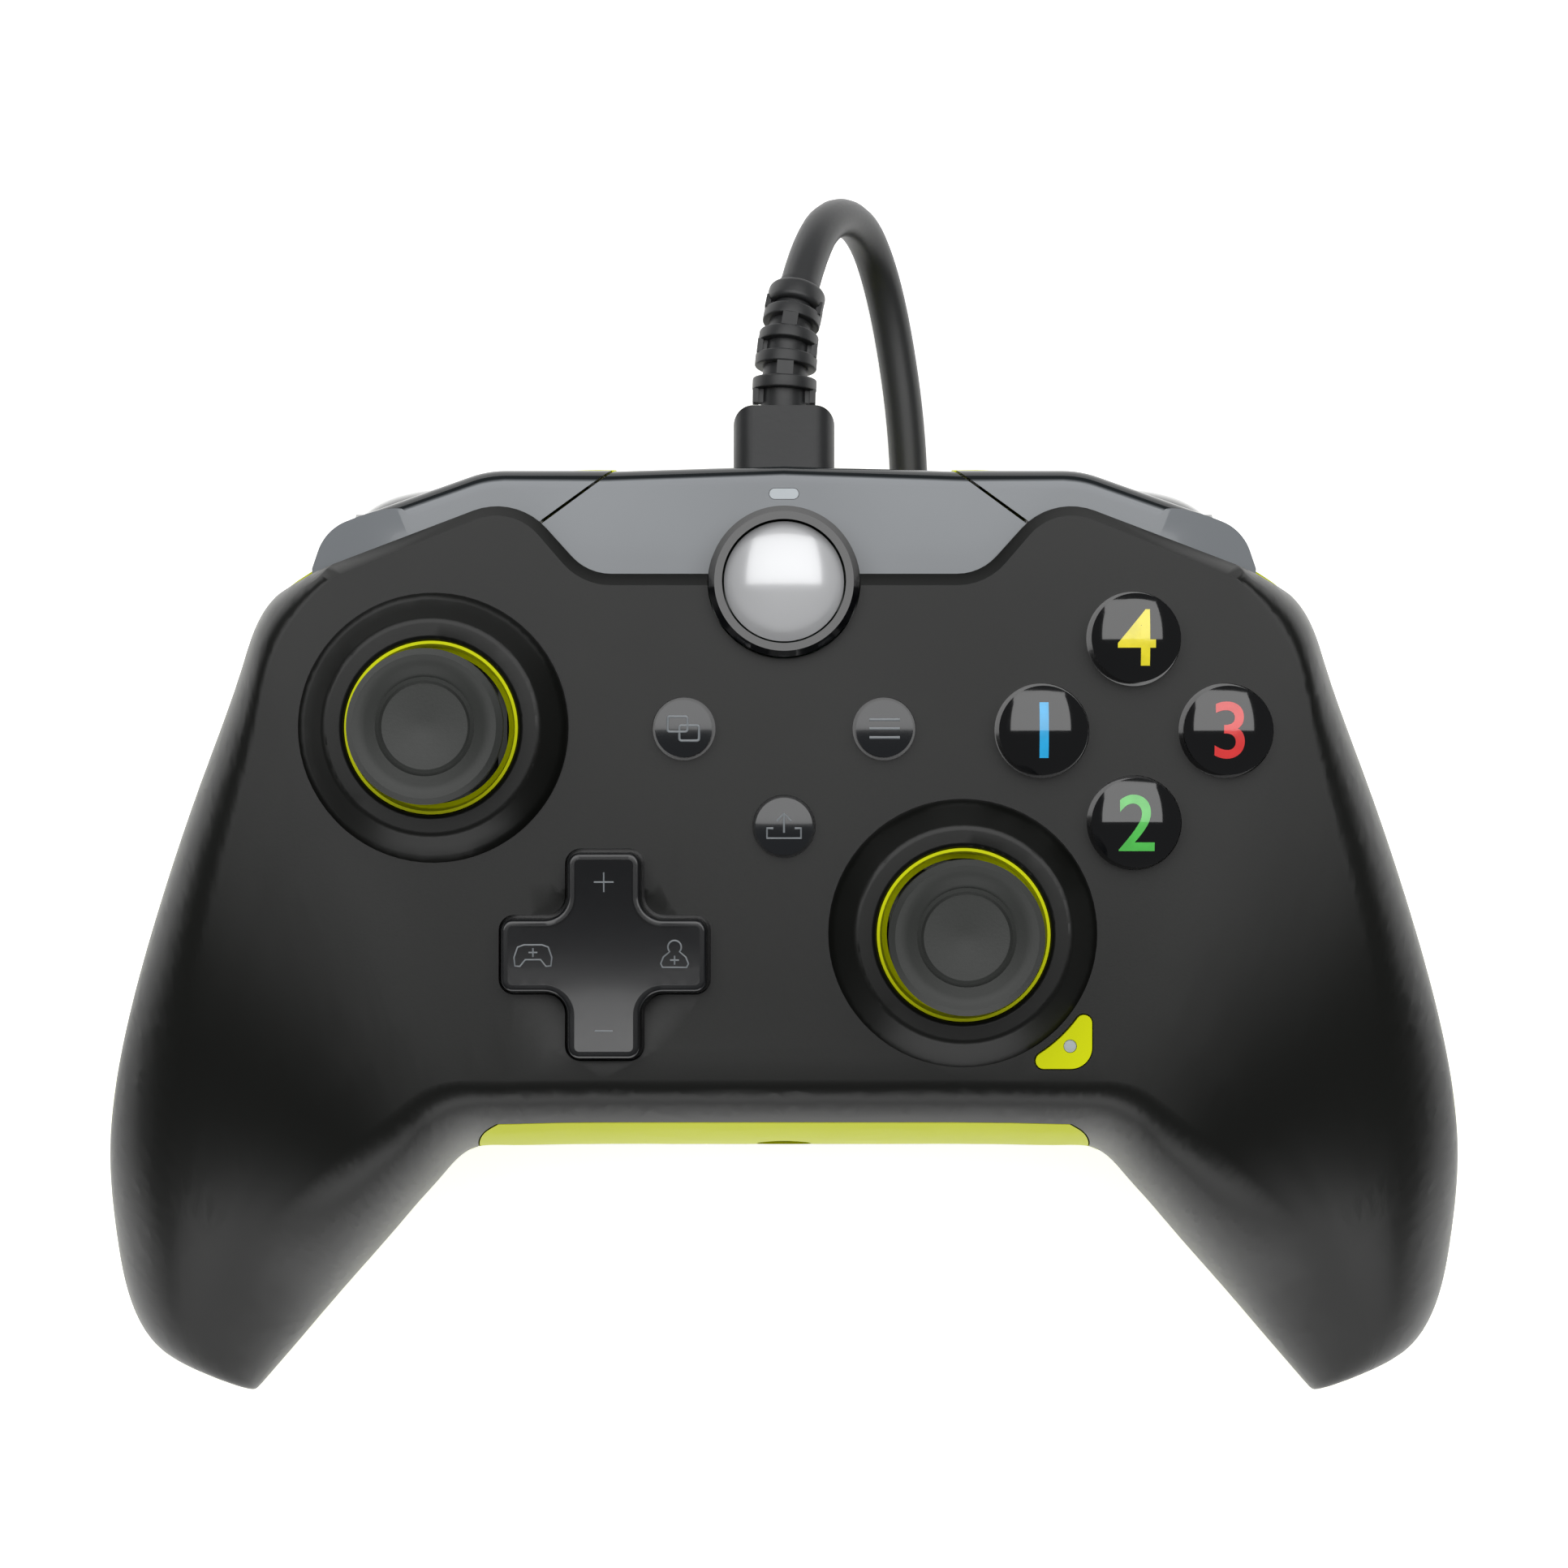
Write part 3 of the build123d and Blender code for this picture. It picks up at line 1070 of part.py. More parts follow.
for side, (x, y) in stick_places.items():
    centre = (x, y, stick_pivot)
    with BuildPart() as stick_frame:
        add(block((x, y, BOARD_TOP + FRAME_HEIGHT / 2), (FRAME_SPAN, FRAME_SPAN, FRAME_HEIGHT)))
        inner_span = FRAME_SPAN - 2 * FRAME_WALL
        add(
            block((x, y, BOARD_TOP + FRAME_FLOOR + FRAME_HEIGHT / 2), (inner_span, inner_span, FRAME_HEIGHT)),
            mode=Mode.SUBTRACT,
        )
        for axis in ((1, 0, 0), (0, 1, 0)):
            add(rod(centre, axis, TRUNNION_RADIUS + RUNNING_GAP, FRAME_SPAN), mode=Mode.SUBTRACT)
    keep(stick_frame, f"{side}_stick_frame")

    with BuildPart() as well_ring:
        add(swept_outline((x, y), WELL_RING_SHARES, STICK_OPENING_RADIUS, FACE_UNDERSIDE - FLANGE_THICKNESS))
    keep(well_ring, f"{side}_well_ring")

    with BuildPart() as cross_yoke:
        add(block(centre, YOKE_SIZE))
        add(block(centre, (YOKE_SLOT[0], YOKE_SLOT[1], 2 * YOKE_SIZE[2])), mode=Mode.SUBTRACT)
        for sign in SIDES.values():
            reach = (trunnion_end - YOKE_SIZE[1] / 2) / 2
            add(rod((x, y + sign * (trunnion_end - reach), stick_pivot), (0, 1, 0), TRUNNION_RADIUS, reach))
        add(rod(centre, (1, 0, 0), PIN_RADIUS + RUNNING_GAP, YOKE_SIZE[0]), mode=Mode.SUBTRACT)
    keep(cross_yoke, f"{side}_cross_yoke")

    with BuildPart() as stick_pin:
        add(rod(centre, (1, 0, 0), PIN_RADIUS, YOKE_SIZE[0] / 2 - RUNNING_GAP))
    keep(stick_pin, f"{side}_stick_pin")

    slot_height = 2 * PIN_RADIUS + STICK_PRESS + 2 * RUNNING_GAP
    with BuildPart() as stick_shaft:
        add(disc((x, y), SHAFT_RADIUS, stick_pivot - SHAFT_BELOW, stick_pivot + SHAFT_ABOVE))
        add(
            block(
                (x, y, stick_pivot - PIN_RADIUS - RUNNING_GAP + slot_height / 2),
                (2 * CAP_RADIUS, 2 * (PIN_RADIUS + RUNNING_GAP), slot_height),
            ),
            mode=Mode.SUBTRACT,
        )
    keep(stick_shaft, f"{side}_stick_shaft")

    with BuildPart() as stick_cap:
        add(swept_outline((x, y), CAP_SHARES, CAP_RADIUS, stick_pivot))
    keep(stick_cap, f"{side}_stick_cap")

    with BuildPart() as arch_yoke:
        add(rod(centre, (0, 1, 0), arch_outer, ARCH_WIDTH / 2))
        add(rod(centre, (0, 1, 0), ARCH_RADIUS, ARCH_WIDTH), mode=Mode.SUBTRACT)
        below_foot = (x, y, stick_pivot - ARCH_FOOT - arch_outer)
        add(block(below_foot, (3 * arch_outer, 3 * arch_outer, 2 * arch_outer)), mode=Mode.SUBTRACT)
        add(block((x, y, stick_pivot + arch_outer), (*ARCH_SLOT, arch_outer)), mode=Mode.SUBTRACT)
        for sign in SIDES.values():
            reach = (trunnion_end - ARCH_RADIUS - ARCH_THICKNESS / 2) / 2
            add(rod((x + sign * (trunnion_end - reach), y, stick_pivot), (1, 0, 0), TRUNNION_RADIUS, reach))
    keep(arch_yoke, f"{side}_arch_yoke")

with BuildPart() as stick_sensors:
    beside = FRAME_SPAN / 2 + SENSOR_SIZE[0] / 2 + SEAM_GAP
    thick, wide, high = SENSOR_SIZE
    for x, y in stick_places.values():
        add(block((x + beside, y, BOARD_TOP + high / 2), (thick, wide, high)))
        add(block((x, y - beside, BOARD_TOP + high / 2), (wide, thick, high)))
keep(stick_sensors, "stick_sensors")


# Direction pad on its tilting hub, over a rubber sheet with four domes
dpad_top = FACE_HEIGHT + DPAD_RISE
with BuildPart() as dpad:
    with BuildSketch(Plane.XY.offset(DPAD_BOTTOM)):
        add(dpad_plan(0))
    extrude(amount=dpad_top - DPAD_BOTTOM)
    fillet(dpad.faces().sort_by(Axis.Z)[-1].edges(), DPAD_EDGE_RADIUS)
    with BuildPart(mode=Mode.PRIVATE) as hollow:
        hollow_ball = ((DPAD_SPAN / 2) ** 2 + DPAD_HOLLOW**2) / (2 * DPAD_HOLLOW)
        with Locations((*dpad_place, dpad_top - DPAD_HOLLOW + hollow_ball)):
            Sphere(hollow_ball)
        with Locations((*dpad_place, dpad_top)):
            Cylinder(DPAD_SPAN, 2 * OVERRUN, mode=Mode.INTERSECT)
        add(column(dpad_plan(-DPAD_RIM), DPAD_BOTTOM, dpad_top + OVERRUN), mode=Mode.INTERSECT)
    add(hollow.part, mode=Mode.SUBTRACT)
    add(disc(dpad_place, DPAD_FLANGE_RADIUS, DPAD_BOTTOM, DPAD_BOTTOM + DPAD_FLANGE_THICKNESS))
    add(
        disc(dpad_place, DPAD_HUB_RADIUS + DPAD_CAVITY_GAP, DPAD_BOTTOM, DPAD_CAVITY_TOP),
        mode=Mode.SUBTRACT,
    )
keep(dpad, "dpad")

with BuildPart() as dpad_hub:
    half = DPAD_HUB_HEIGHT / 2
    add(disc(dpad_place, DPAD_HUB_RADIUS, DPAD_PIVOT_HEIGHT - half, DPAD_PIVOT_HEIGHT + half))
keep(dpad_hub, "dpad_hub")

dome_reach = DPAD_DOME_SHARE * DPAD_SPAN / 2
dpad_dome_places = [
    (dpad_place[0] + dx * dome_reach, dpad_place[1] + dy * dome_reach) for dx, dy in FACE_BUTTONS.values()
]
with BuildPart() as dpad_membrane:
    add(disc(dpad_place, DPAD_SPAN / 2, BOARD_TOP, BOARD_TOP + MEMBRANE_THICKNESS))
    for place in dpad_dome_places:
        add(disc(place, DPAD_DOME_RADIUS, BOARD_TOP, DPAD_BOTTOM - SLIDE_GAP))
    add(disc(dpad_place, DPAD_POST_RADIUS + SLIDE_GAP, 0, FACE_HEIGHT), mode=Mode.SUBTRACT)
keep(dpad_membrane, "dpad_membrane")


# Face buttons and small buttons
flange_bottom = FACE_UNDERSIDE - FLANGE_GAP - FLANGE_THICKNESS
for name, place in face_button_places.items():
    face_button = round_outline(
        place, FACE_BUTTON_RADIUS, FACE_HEIGHT + FACE_BUTTON_RISE, FACE_BUTTON_DOME, flange_bottom,
        (FLANGE_RIM, FLANGE_THICKNESS), FACE_STEM_RADIUS, FACE_STEM_BOTTOM,
    )
    keep(face_button, f"face_button_{name}")

for name, place in small_places.items():
    small_button = round_outline(
        place, SMALL_BUTTON_RADIUS, FACE_HEIGHT + SMALL_BUTTON_RISE, BUTTON_CHAMFER / 2, flange_bottom,
        (FLANGE_RIM, FLANGE_THICKNESS), SMALL_STEM_RADIUS, STEM_BOTTOM,
    )
    keep(small_button, name)

with BuildPart() as face_membrane:
    with BuildSketch(Plane.XY.offset(BOARD_TOP)):
        with Locations(cluster_place):
            Circle(CLUSTER_SPACING - SLIDE_GAP)
    extrude(amount=MEMBRANE_THICKNESS)
    for place in face_button_places.values():
        add(disc(place, FACE_DOME_RADIUS, BOARD_TOP, FACE_STEM_BOTTOM - SLIDE_GAP))
keep(face_membrane, "face_membrane")


# Board, switches, chips, cable socket and headset jack
with BuildPart() as main_board:
    add(column(both_halves(BOARD_SHARES), BOARD_BOTTOM, BOARD_TOP))
    for place in screw_places[:2]:
        add(disc(place, LOWER_POST_RADIUS + SLIDE_GAP, 0, FACE_HEIGHT), mode=Mode.SUBTRACT)
    add(disc(dpad_place, DPAD_POST_RADIUS, BOARD_TOP, DPAD_POST_TOP))
keep(main_board, "main_board")

with BuildPart() as tact_switches:
    travels = [(place, SMALL_BUTTON_TRAVEL) for place in small_places.values()]
    for place, travel in [*travels, (guide_place, GUIDE_TRAVEL)]:
        add(block((*place, BOARD_TOP + SWITCH_BODY[2] / 2), SWITCH_BODY))
        add(disc(place, SWITCH_PLUNGER_RADIUS, BOARD_TOP, STEM_BOTTOM - travel - RUNNING_GAP))
    for sign in SIDES.values():
        x, y = sign * BUMPER_SWITCH_PLACE[0], BUMPER_SWITCH_PLACE[1]
        add(block((x, y, BOARD_TOP + BUMPER_SWITCH_SIZE[2] / 2), BUMPER_SWITCH_SIZE))
        add(block(
            (x, y + BUMPER_SWITCH_REACH, BOARD_TOP + BUMPER_SWITCH_SIZE[2] / 2),
            (SWITCH_PLUNGER_RADIUS, BUMPER_SWITCH_SIZE[1], SWITCH_PLUNGER_RADIUS),
        ))
keep(tact_switches, "tact_switches")

with BuildPart() as board_chips:
    for (x, y), size in zip(CHIP_PLACES, CHIP_SIZES):
        add(block((x, y, BOARD_TOP + size[2] / 2), size))
keep(board_chips, "board_chips")

with BuildPart() as usb_socket:
    socket_middle = SOCKET_START + SOCKET_LENGTH / 2
    add(block((0, socket_middle, PLUG_HEIGHT), (SOCKET_WIDTH, SOCKET_LENGTH, SOCKET_HEIGHT)))
    mouth = (0, socket_middle + SOCKET_LENGTH - PLUG_TIP_LENGTH, PLUG_HEIGHT)
    add(block(mouth, (PLUG_TIP_WIDTH, SOCKET_LENGTH, PLUG_TIP_HEIGHT)), mode=Mode.SUBTRACT)
keep(usb_socket, "usb_socket")

with BuildPart() as headset_jack:
    jack_face = jack_mouth + 2 * WALL
    add(block((0, jack_face + JACK_BODY[1] / 2, jack_height), JACK_BODY))
    with BuildSketch(Plane.XZ.offset(-jack_mouth)):
        with Locations((0, jack_height)):
            Circle(JACK_RADIUS)
    extrude(amount=-JACK_BODY[1])
    with BuildSketch(Plane.XZ.offset(-jack_mouth)):
        with Locations((0, jack_height)):
            Circle(JACK_BORE_RADIUS)
    extrude(amount=-JACK_DEPTH, mode=Mode.SUBTRACT)
keep(headset_jack, "headset_jack")


# Rumble motors with their off-centre weights
for side, place in motor_places.items():
    with BuildPart() as motor:
        add(disc(place, MOTOR_RADIUS, MOTOR_BOTTOM, MOTOR_BOTTOM + MOTOR_HEIGHT))
        add(disc(place, MOTOR_SHAFT_RADIUS + RUNNING_GAP, 0, FACE_HEIGHT), mode=Mode.SUBTRACT)
    keep(motor, f"{side}_motor")

    weight_bottom = MOTOR_BOTTOM + MOTOR_HEIGHT + WEIGHT_GAP
    with BuildPart() as motor_weight:
        add(disc(place, WEIGHT_RADIUS, weight_bottom, weight_bottom + WEIGHT_HEIGHT))
        far_side = (place[0], place[1] + WEIGHT_RADIUS + MOTOR_SHAFT_RADIUS, weight_bottom + WEIGHT_HEIGHT / 2)
        add(block(far_side, (3 * WEIGHT_RADIUS, 2 * WEIGHT_RADIUS, 2 * WEIGHT_HEIGHT)), mode=Mode.SUBTRACT)
        top = weight_bottom + WEIGHT_HEIGHT
        add(disc(place, 2 * MOTOR_SHAFT_RADIUS, weight_bottom, top))
        add(disc(place, MOTOR_SHAFT_RADIUS, top - MOTOR_SHAFT_LENGTH, top))
    keep(motor_weight, f"{side}_motor_weight")

with BuildPart() as shell_screws:
    for place, seat in zip(screw_places, screw_seats):
        add(disc(place, SCREW_HEAD_RADIUS, seat - SCREW_HEAD_HEIGHT, seat))
        add(disc(place, SCREW_RADIUS - RUNNING_GAP, seat, seat + SCREW_LENGTH))
keep(shell_screws, "shell_screws")


# Cable plug in the pad, its ribbed relief, and the cord
with BuildPart() as cable_plug:
    with BuildSketch(Plane.XZ.offset(-PLUG_END)):
        with Locations((0, PLUG_HEIGHT)):
            RectangleRounded(PLUG_WIDTH, PLUG_BODY_HEIGHT, PLUG_CORNER)
    extrude(amount=PLUG_END - PLUG_START)
    with BuildSketch() as plug_plan:
        with Locations((0, PLUG_START)):
            Rectangle(PLUG_WIDTH, PLUG_END - PLUG_START, align=(Align.CENTER, Align.MIN))
        fillet(plug_plan.vertices().group_by(Axis.Y)[-1], PLUG_END_CORNER)
    extrude(amount=FACE_HEIGHT, mode=Mode.INTERSECT)
keep(cable_plug, "cable_plug")

with BuildPart() as cable_plug_tip:
    tip_start = SOCKET_START + SOCKET_LENGTH - PLUG_TIP_LENGTH + SLIDE_GAP
    add(block(
        (0, (PLUG_START + tip_start) / 2, PLUG_HEIGHT),
        (PLUG_TIP_WIDTH - 2 * RUNNING_GAP, PLUG_START - tip_start, PLUG_TIP_HEIGHT - 2 * RUNNING_GAP),
    ))
keep(cable_plug_tip, "cable_plug_tip")


def bend_radii(points):
    """The radius at each inner point of a cord's route, from its shorter run and its turn."""
    radii = []
    for before, here, after in zip(points, points[1:], points[2:]):
        arriving, leaving = Vector(*here) - Vector(*before), Vector(*after) - Vector(*here)
        half_turn = radians(arriving.get_angle(leaving) / 2)
        radii.append(0.45 * min(arriving.length, leaving.length) / tan(half_turn))
    return radii


def report_tube(name, part, length, radius):
    share = part.volume / (pi * radius**2 * length)
    print(f"{name}: length {length:.1f} mm, volume over section times length {share:.4f}")


def cord_tube(points, name):
    """A piece of the cord along its route of straight runs and tangent arcs."""
    radii = bend_radii(points)
    print(name, "bend radii in mm:", ", ".join(f"{radius:.1f}" for radius in radii))
    with BuildPart() as tube:
        with BuildLine() as route:
            path = FilletPolyline(*points, radius=radii)
        with BuildSketch(Plane(origin=path @ 0, z_dir=path % 0)):
            Circle(CORD_DIAMETER / 2)
        sweep(path=route.wires()[0])
    report_tube(name, tube.part, route.wires()[0].length, CORD_DIAMETER / 2)
    keep(tube, name)
    return route.wires()[0].length


with BuildLine() as relief_route:
    FilletPolyline(*RELIEF_POINTS, radius=bend_radii(RELIEF_POINTS))
relief_path = relief_route.wires()[0]


def relief_circle(share, radius):
    """A circle square to the relief's path at a share of its length."""
    place = Plane(origin=relief_path.position_at(share), x_dir=(1, 0, 0), z_dir=relief_path.tangent_at(share))
    return Wire([Edge.make_circle(radius, plane=place)])


relief_circles = []
for rib in range(RELIEF_RIBS):
    grown = RELIEF_BASE_RADIUS + (RELIEF_TIP_RADIUS - RELIEF_BASE_RADIUS) * rib / (RELIEF_RIBS - 1)
    low = grown - RELIEF_GROOVE
    for step_share, radius in ((0.0, low), (0.28, grown), (0.72, grown), (0.99, low)):
        relief_circles.append(relief_circle((rib + step_share) / RELIEF_RIBS, radius))
relief_circles.append(relief_circle(1, RELIEF_TIP_RADIUS - RELIEF_GROOVE))
with BuildPart() as plug_strain_relief:
    add(Solid.make_loft(relief_circles, ruled=True))
keep(plug_strain_relief, "plug_strain_relief")

lead_length = cord_tube(LEAD_POINTS, "cord_lead")


def coil_edges():
    """The flat oval coil: in along the lower layer, up on a straight run, and out along the upper one."""
    left, right = -COIL_RUN / 2, COIL_RUN / 2
    low, high = COIL_BOTTOM, COIL_BOTTOM + COIL_STEP
    half = COIL_PITCH / 2
    edges = []
    here = Vector(*LEAD_POINTS[-1])

    def run_to(x, y, z):
        nonlocal here
        edges.append(Edge.make_line(here, Vector(x, y, z)))
        here = Vector(x, y, z)

    def half_turn(x, centre_y, radius, z, side):
        nonlocal here
        top, bottom = centre_y + radius, centre_y - radius
        start, end = (top, bottom) if side < 0 else (bottom, top)
        edges.append(Edge.make_three_point_arc(
            Vector(x, start, z), Vector(x + side * radius, centre_y, z), Vector(x, end, z)))
        here = Vector(x, end, z)

    for turn in range(COIL_TURNS):
        outer = COIL_RADIUS - turn * COIL_PITCH
        run_to(left, COIL_MIDDLE + outer, low)
        half_turn(left, COIL_MIDDLE, outer, low, -1)
        run_to(right, COIL_MIDDLE - outer, low)
        half_turn(right, COIL_MIDDLE - half, outer - half, low, 1)
    level = here.Y
    rise, span = high - low, right - left
    bend = (span**2 + rise**2) / (4 * rise)
    middle = Vector(0, level, (low + high) / 2)
    sag_share = 1 / 4
    sag = bend - (bend**2 - (span * sag_share) ** 2) ** (1 / 2)
    edges.append(Edge.make_three_point_arc(here, Vector(right - span * sag_share, level, low + sag), middle))
    here = Vector(left, level, high)
    edges.append(Edge.make_three_point_arc(middle, Vector(left + span * sag_share, level, high - sag), here))
    for turn in reversed(range(COIL_TURNS)):
        outer = COIL_RADIUS - turn * COIL_PITCH
        half_turn(left, COIL_MIDDLE - half, outer - half, high, -1)
        run_to(right, COIL_MIDDLE - outer, high)
        half_turn(right, COIL_MIDDLE, outer, high, 1)
        run_to(left if turn else TAIL_POINTS[0][0], COIL_MIDDLE + outer, high)
    return edges


coil_wire = Wire(coil_edges())
with BuildPart() as cord_coil:
    with BuildSketch(Plane(origin=coil_wire.position_at(0), z_dir=coil_wire.tangent_at(0))):
        Circle(CORD_DIAMETER / 2)
    sweep(path=coil_wire)
report_tube("cord_coil", cord_coil.part, coil_wire.length, CORD_DIAMETER / 2)
keep(cord_coil, "cord_coil")

samples = round(coil_wire.length / CORD_DIAMETER * 3)
coil_points = [tuple(coil_wire.position_at(i / samples)) for i in range(samples + 1)]
apart = round(3 * pi)
least_gap = min(
    dist(one, other) - CORD_DIAMETER for i, one in enumerate(coil_points) for other in coil_points[i + apart:]
)
print(f"cord_coil: least gap to itself {least_gap:.2f} mm")

tail_length = cord_tube(TAIL_POINTS, "cord_tail")
print(f"cord: {lead_length + coil_wire.length + tail_length:.0f} mm from the relief to the far plug")


# Far plug, lying on the coil, and the tie around the coil
tail_end = TAIL_POINTS[-1]
grip_start = tail_end[0] + FAR_RELIEF_LENGTH
shell_middle = (grip_start + FAR_GRIP[0] + FAR_SHELL[0] / 2, tail_end[1], tail_end[2])

with BuildPart() as usb_a_grip:
    add(Solid.make_cone(
        CORD_DIAMETER / 2 + SLIDE_GAP, FAR_RELIEF_RADIUS + SLIDE_GAP, FAR_RELIEF_LENGTH,
        plane=Plane(origin=tail_end, z_dir=(1, 0, 0)),
    ))
    with BuildSketch(Plane.YZ.offset(grip_start)):
        with Locations(tail_end[1:]):
            RectangleRounded(FAR_GRIP[1], FAR_GRIP[2], FAR_GRIP_CORNER)
    extrude(amount=FAR_GRIP[0])
keep(usb_a_grip, "usb_a_grip")

with BuildPart() as usb_a_shell:
    add(block(shell_middle, FAR_SHELL))
    hollow_size = (FAR_SHELL[0], FAR_SHELL[1] - 2 * FAR_SHELL_WALL, FAR_SHELL[2] - 2 * FAR_SHELL_WALL)
    add(block((shell_middle[0] + FAR_SHELL_WALL, *shell_middle[1:]), hollow_size), mode=Mode.SUBTRACT)
    tongue_height = FAR_SHELL[2] / 2 - FAR_SHELL_WALL
    add(block(
        (shell_middle[0] - FAR_SHELL_WALL, shell_middle[1], shell_middle[2] + tongue_height - FAR_TONGUE / 2),
        (FAR_SHELL[0] - 2 * FAR_SHELL_WALL, hollow_size[1], FAR_TONGUE),
    ))
keep(usb_a_shell, "usb_a_shell")

bundle_outer = COIL_MIDDLE - COIL_RADIUS - CORD_DIAMETER / 2
bundle_inner = COIL_MIDDLE - COIL_RADIUS + (COIL_TURNS - 1) * COIL_PITCH + CORD_DIAMETER / 2
bundle_bottom = COIL_BOTTOM - CORD_DIAMETER / 2
bundle_top = COIL_BOTTOM + COIL_STEP + CORD_DIAMETER / 2
with BuildPart() as cord_tie:
    with BuildSketch(Plane.YZ.offset(TIE_PLACE - TIE_WIDTH / 2)):
        with Locations(((bundle_outer + bundle_inner) / 2, (bundle_top + bundle_bottom) / 2)):
            for grow, mode in ((TIE_GAP + TIE_THICKNESS, Mode.ADD), (TIE_GAP, Mode.SUBTRACT)):
                RectangleRounded(
                    bundle_inner - bundle_outer + 2 * grow, bundle_top - bundle_bottom + 2 * grow,
                    CORD_DIAMETER / 2 + grow, mode=mode,
                )
    extrude(amount=TIE_WIDTH)
keep(cord_tie, "cord_tie")
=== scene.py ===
# %% [markdown]
# # A wired gamepad, dressed for rendering
#
# The object is a wired game controller: a soft black front casing on a bright back casing, with
# two thumb sticks, a direction pad, buttons, bumpers, triggers and a cord. Its solids come from a
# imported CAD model, which stays as it is. This script gives them their looks: finishes, smooth
# copies, markings, the ribs of the strain relief, the cord, and a small studio.
# Everything is in metres, and the place of every part is in its mesh.

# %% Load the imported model
import json
import math

import bmesh
import bpy
import numpy as np
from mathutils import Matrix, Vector


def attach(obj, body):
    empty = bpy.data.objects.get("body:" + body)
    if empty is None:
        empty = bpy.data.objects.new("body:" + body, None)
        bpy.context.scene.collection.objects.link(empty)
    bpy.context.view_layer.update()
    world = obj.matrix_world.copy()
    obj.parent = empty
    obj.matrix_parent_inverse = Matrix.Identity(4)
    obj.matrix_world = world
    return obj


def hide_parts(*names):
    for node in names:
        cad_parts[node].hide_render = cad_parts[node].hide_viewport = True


MM = 0.001
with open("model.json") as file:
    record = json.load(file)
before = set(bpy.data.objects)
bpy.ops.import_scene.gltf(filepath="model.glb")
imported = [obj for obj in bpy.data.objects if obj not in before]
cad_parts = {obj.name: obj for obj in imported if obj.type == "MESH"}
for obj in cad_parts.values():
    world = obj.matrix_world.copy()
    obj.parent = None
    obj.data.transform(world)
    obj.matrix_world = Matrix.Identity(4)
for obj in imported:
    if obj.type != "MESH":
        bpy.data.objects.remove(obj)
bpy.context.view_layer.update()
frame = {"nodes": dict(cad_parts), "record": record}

# %% [markdown]
# ## Shader maths
#
# A finish on a real part is never one flat number: its gloss and colour drift a little. In Blender
# that drift is a tree of Math nodes, which is slow to read. `Value` wraps an output socket, so a
# formula reads as plain arithmetic, and `1 - mask` works as well as `mask - 1`. Colours never go
# through it, because a Math node turns them grey.


# %% A socket that can be added and multiplied
class Value:
    """An output socket that takes part in sums and products."""

    def __init__(self, graph, socket):
        self.graph, self.socket = graph, socket

    def math(self, operation, one, other):
        return self.graph.add("ShaderNodeMath", {0: one, 1: other}, operation=operation)

    def __add__(self, other):
        return self.math("ADD", self, other)

    def __mul__(self, other):
        return self.math("MULTIPLY", self, other)

    def __sub__(self, other):
        return self.math("SUBTRACT", self, other)

    def __rsub__(self, other):
        return self.math("SUBTRACT", other, self)

    __radd__, __rmul__ = __add__, __mul__

    def fade(self, low, high):
        """A smooth step from 0 at the low reading to 1 at the high one."""
        inputs = {"Value": self, "From Min": low, "From Max": high}
        return self.graph.add("ShaderNodeMapRange", inputs, interpolation_type="SMOOTHSTEP")


# %% [markdown]
# ## One material at a time
#
# A finish could be built by hand in the shader editor, but then nobody can read how. `Graph` holds
# a material, and its one method `add` makes every other node: settings first, then the sockets.
# Patterns read Object coordinates, so they stay on the part when it moves.


# %% A material and its nodes
class Graph:
    """One material, with its coordinates and its shader."""

    MIX_SHARE, MIX_ONE, MIX_OTHER, MIX_RESULT = 0, 6, 7, 2
    SOCKETS = {
        "colour": "Base Color", "rough": "Roughness", "normal": "Normal", "coat": "Coat Weight",
        "coat_rough": "Coat Roughness", "metal": "Metallic", "glow": "Emission Color",
        "glow_power": "Emission Strength", "specular": "Specular IOR Level",
    }

    def __init__(self, name):
        self.material = bpy.data.materials.new(name)
        self.material.use_nodes = True
        self.tree = self.material.node_tree
        self.shader = self.tree.nodes["Principled BSDF"]
        self.place = self.add("ShaderNodeTexCoord", output="Object")

    def feed(self, slot, item):
        if isinstance(item, Value):
            self.tree.links.new(item.socket, slot)
        else:
            slot.default_value = item

    def add(self, kind, inputs=(), output=0, **settings):
        node = self.tree.nodes.new(kind)
        for key, item in settings.items():
            setattr(node, key, item)
        for key, item in dict(inputs).items():
            self.feed(node.inputs[key], item)
        return Value(self, node.outputs[output])

    def noise(self, size, detail=2.0, stretch=(1, 1, 1)):
        """Noise whose features are about the size given, in metres."""
        spot = self.add("ShaderNodeMapping", {"Vector": self.place, "Scale": stretch})
        return self.add("ShaderNodeTexNoise", {"Vector": spot, "Scale": 1 / size, "Detail": detail})

    def mix(self, share, one, other):
        """A colour between two colours."""
        inputs = {self.MIX_SHARE: share, self.MIX_ONE: one, self.MIX_OTHER: other}
        return self.add("ShaderNodeMix", inputs, output=self.MIX_RESULT, data_type="RGBA")

    def bump(self, height, strength, depth):
        inputs = {"Height": height, "Strength": strength, "Distance": depth}
        return self.add("ShaderNodeBump", inputs)

    def facing_up(self):
        """1 where the part's own surface looks up, 0 on its walls."""
        normal = self.add("ShaderNodeTexCoord", output="Normal")
        return self.add("ShaderNodeSeparateXYZ", {"Vector": normal}, output="Z")

    def finish(self, **sockets):
        for key, item in sockets.items():
            self.feed(self.shader.inputs[self.SOCKETS[key]], item)
        return self.material


def rgb(red, green, blue):
    """A screen colour, from 0 to 255, as the linear colour that the renderer wants."""
    shares = (v / 255 for v in (red, green, blue))
    return (*[((v + 0.055) / 1.055) ** 2.4 if v > 0.04045 else v / 12.92 for v in shares], 1.0)


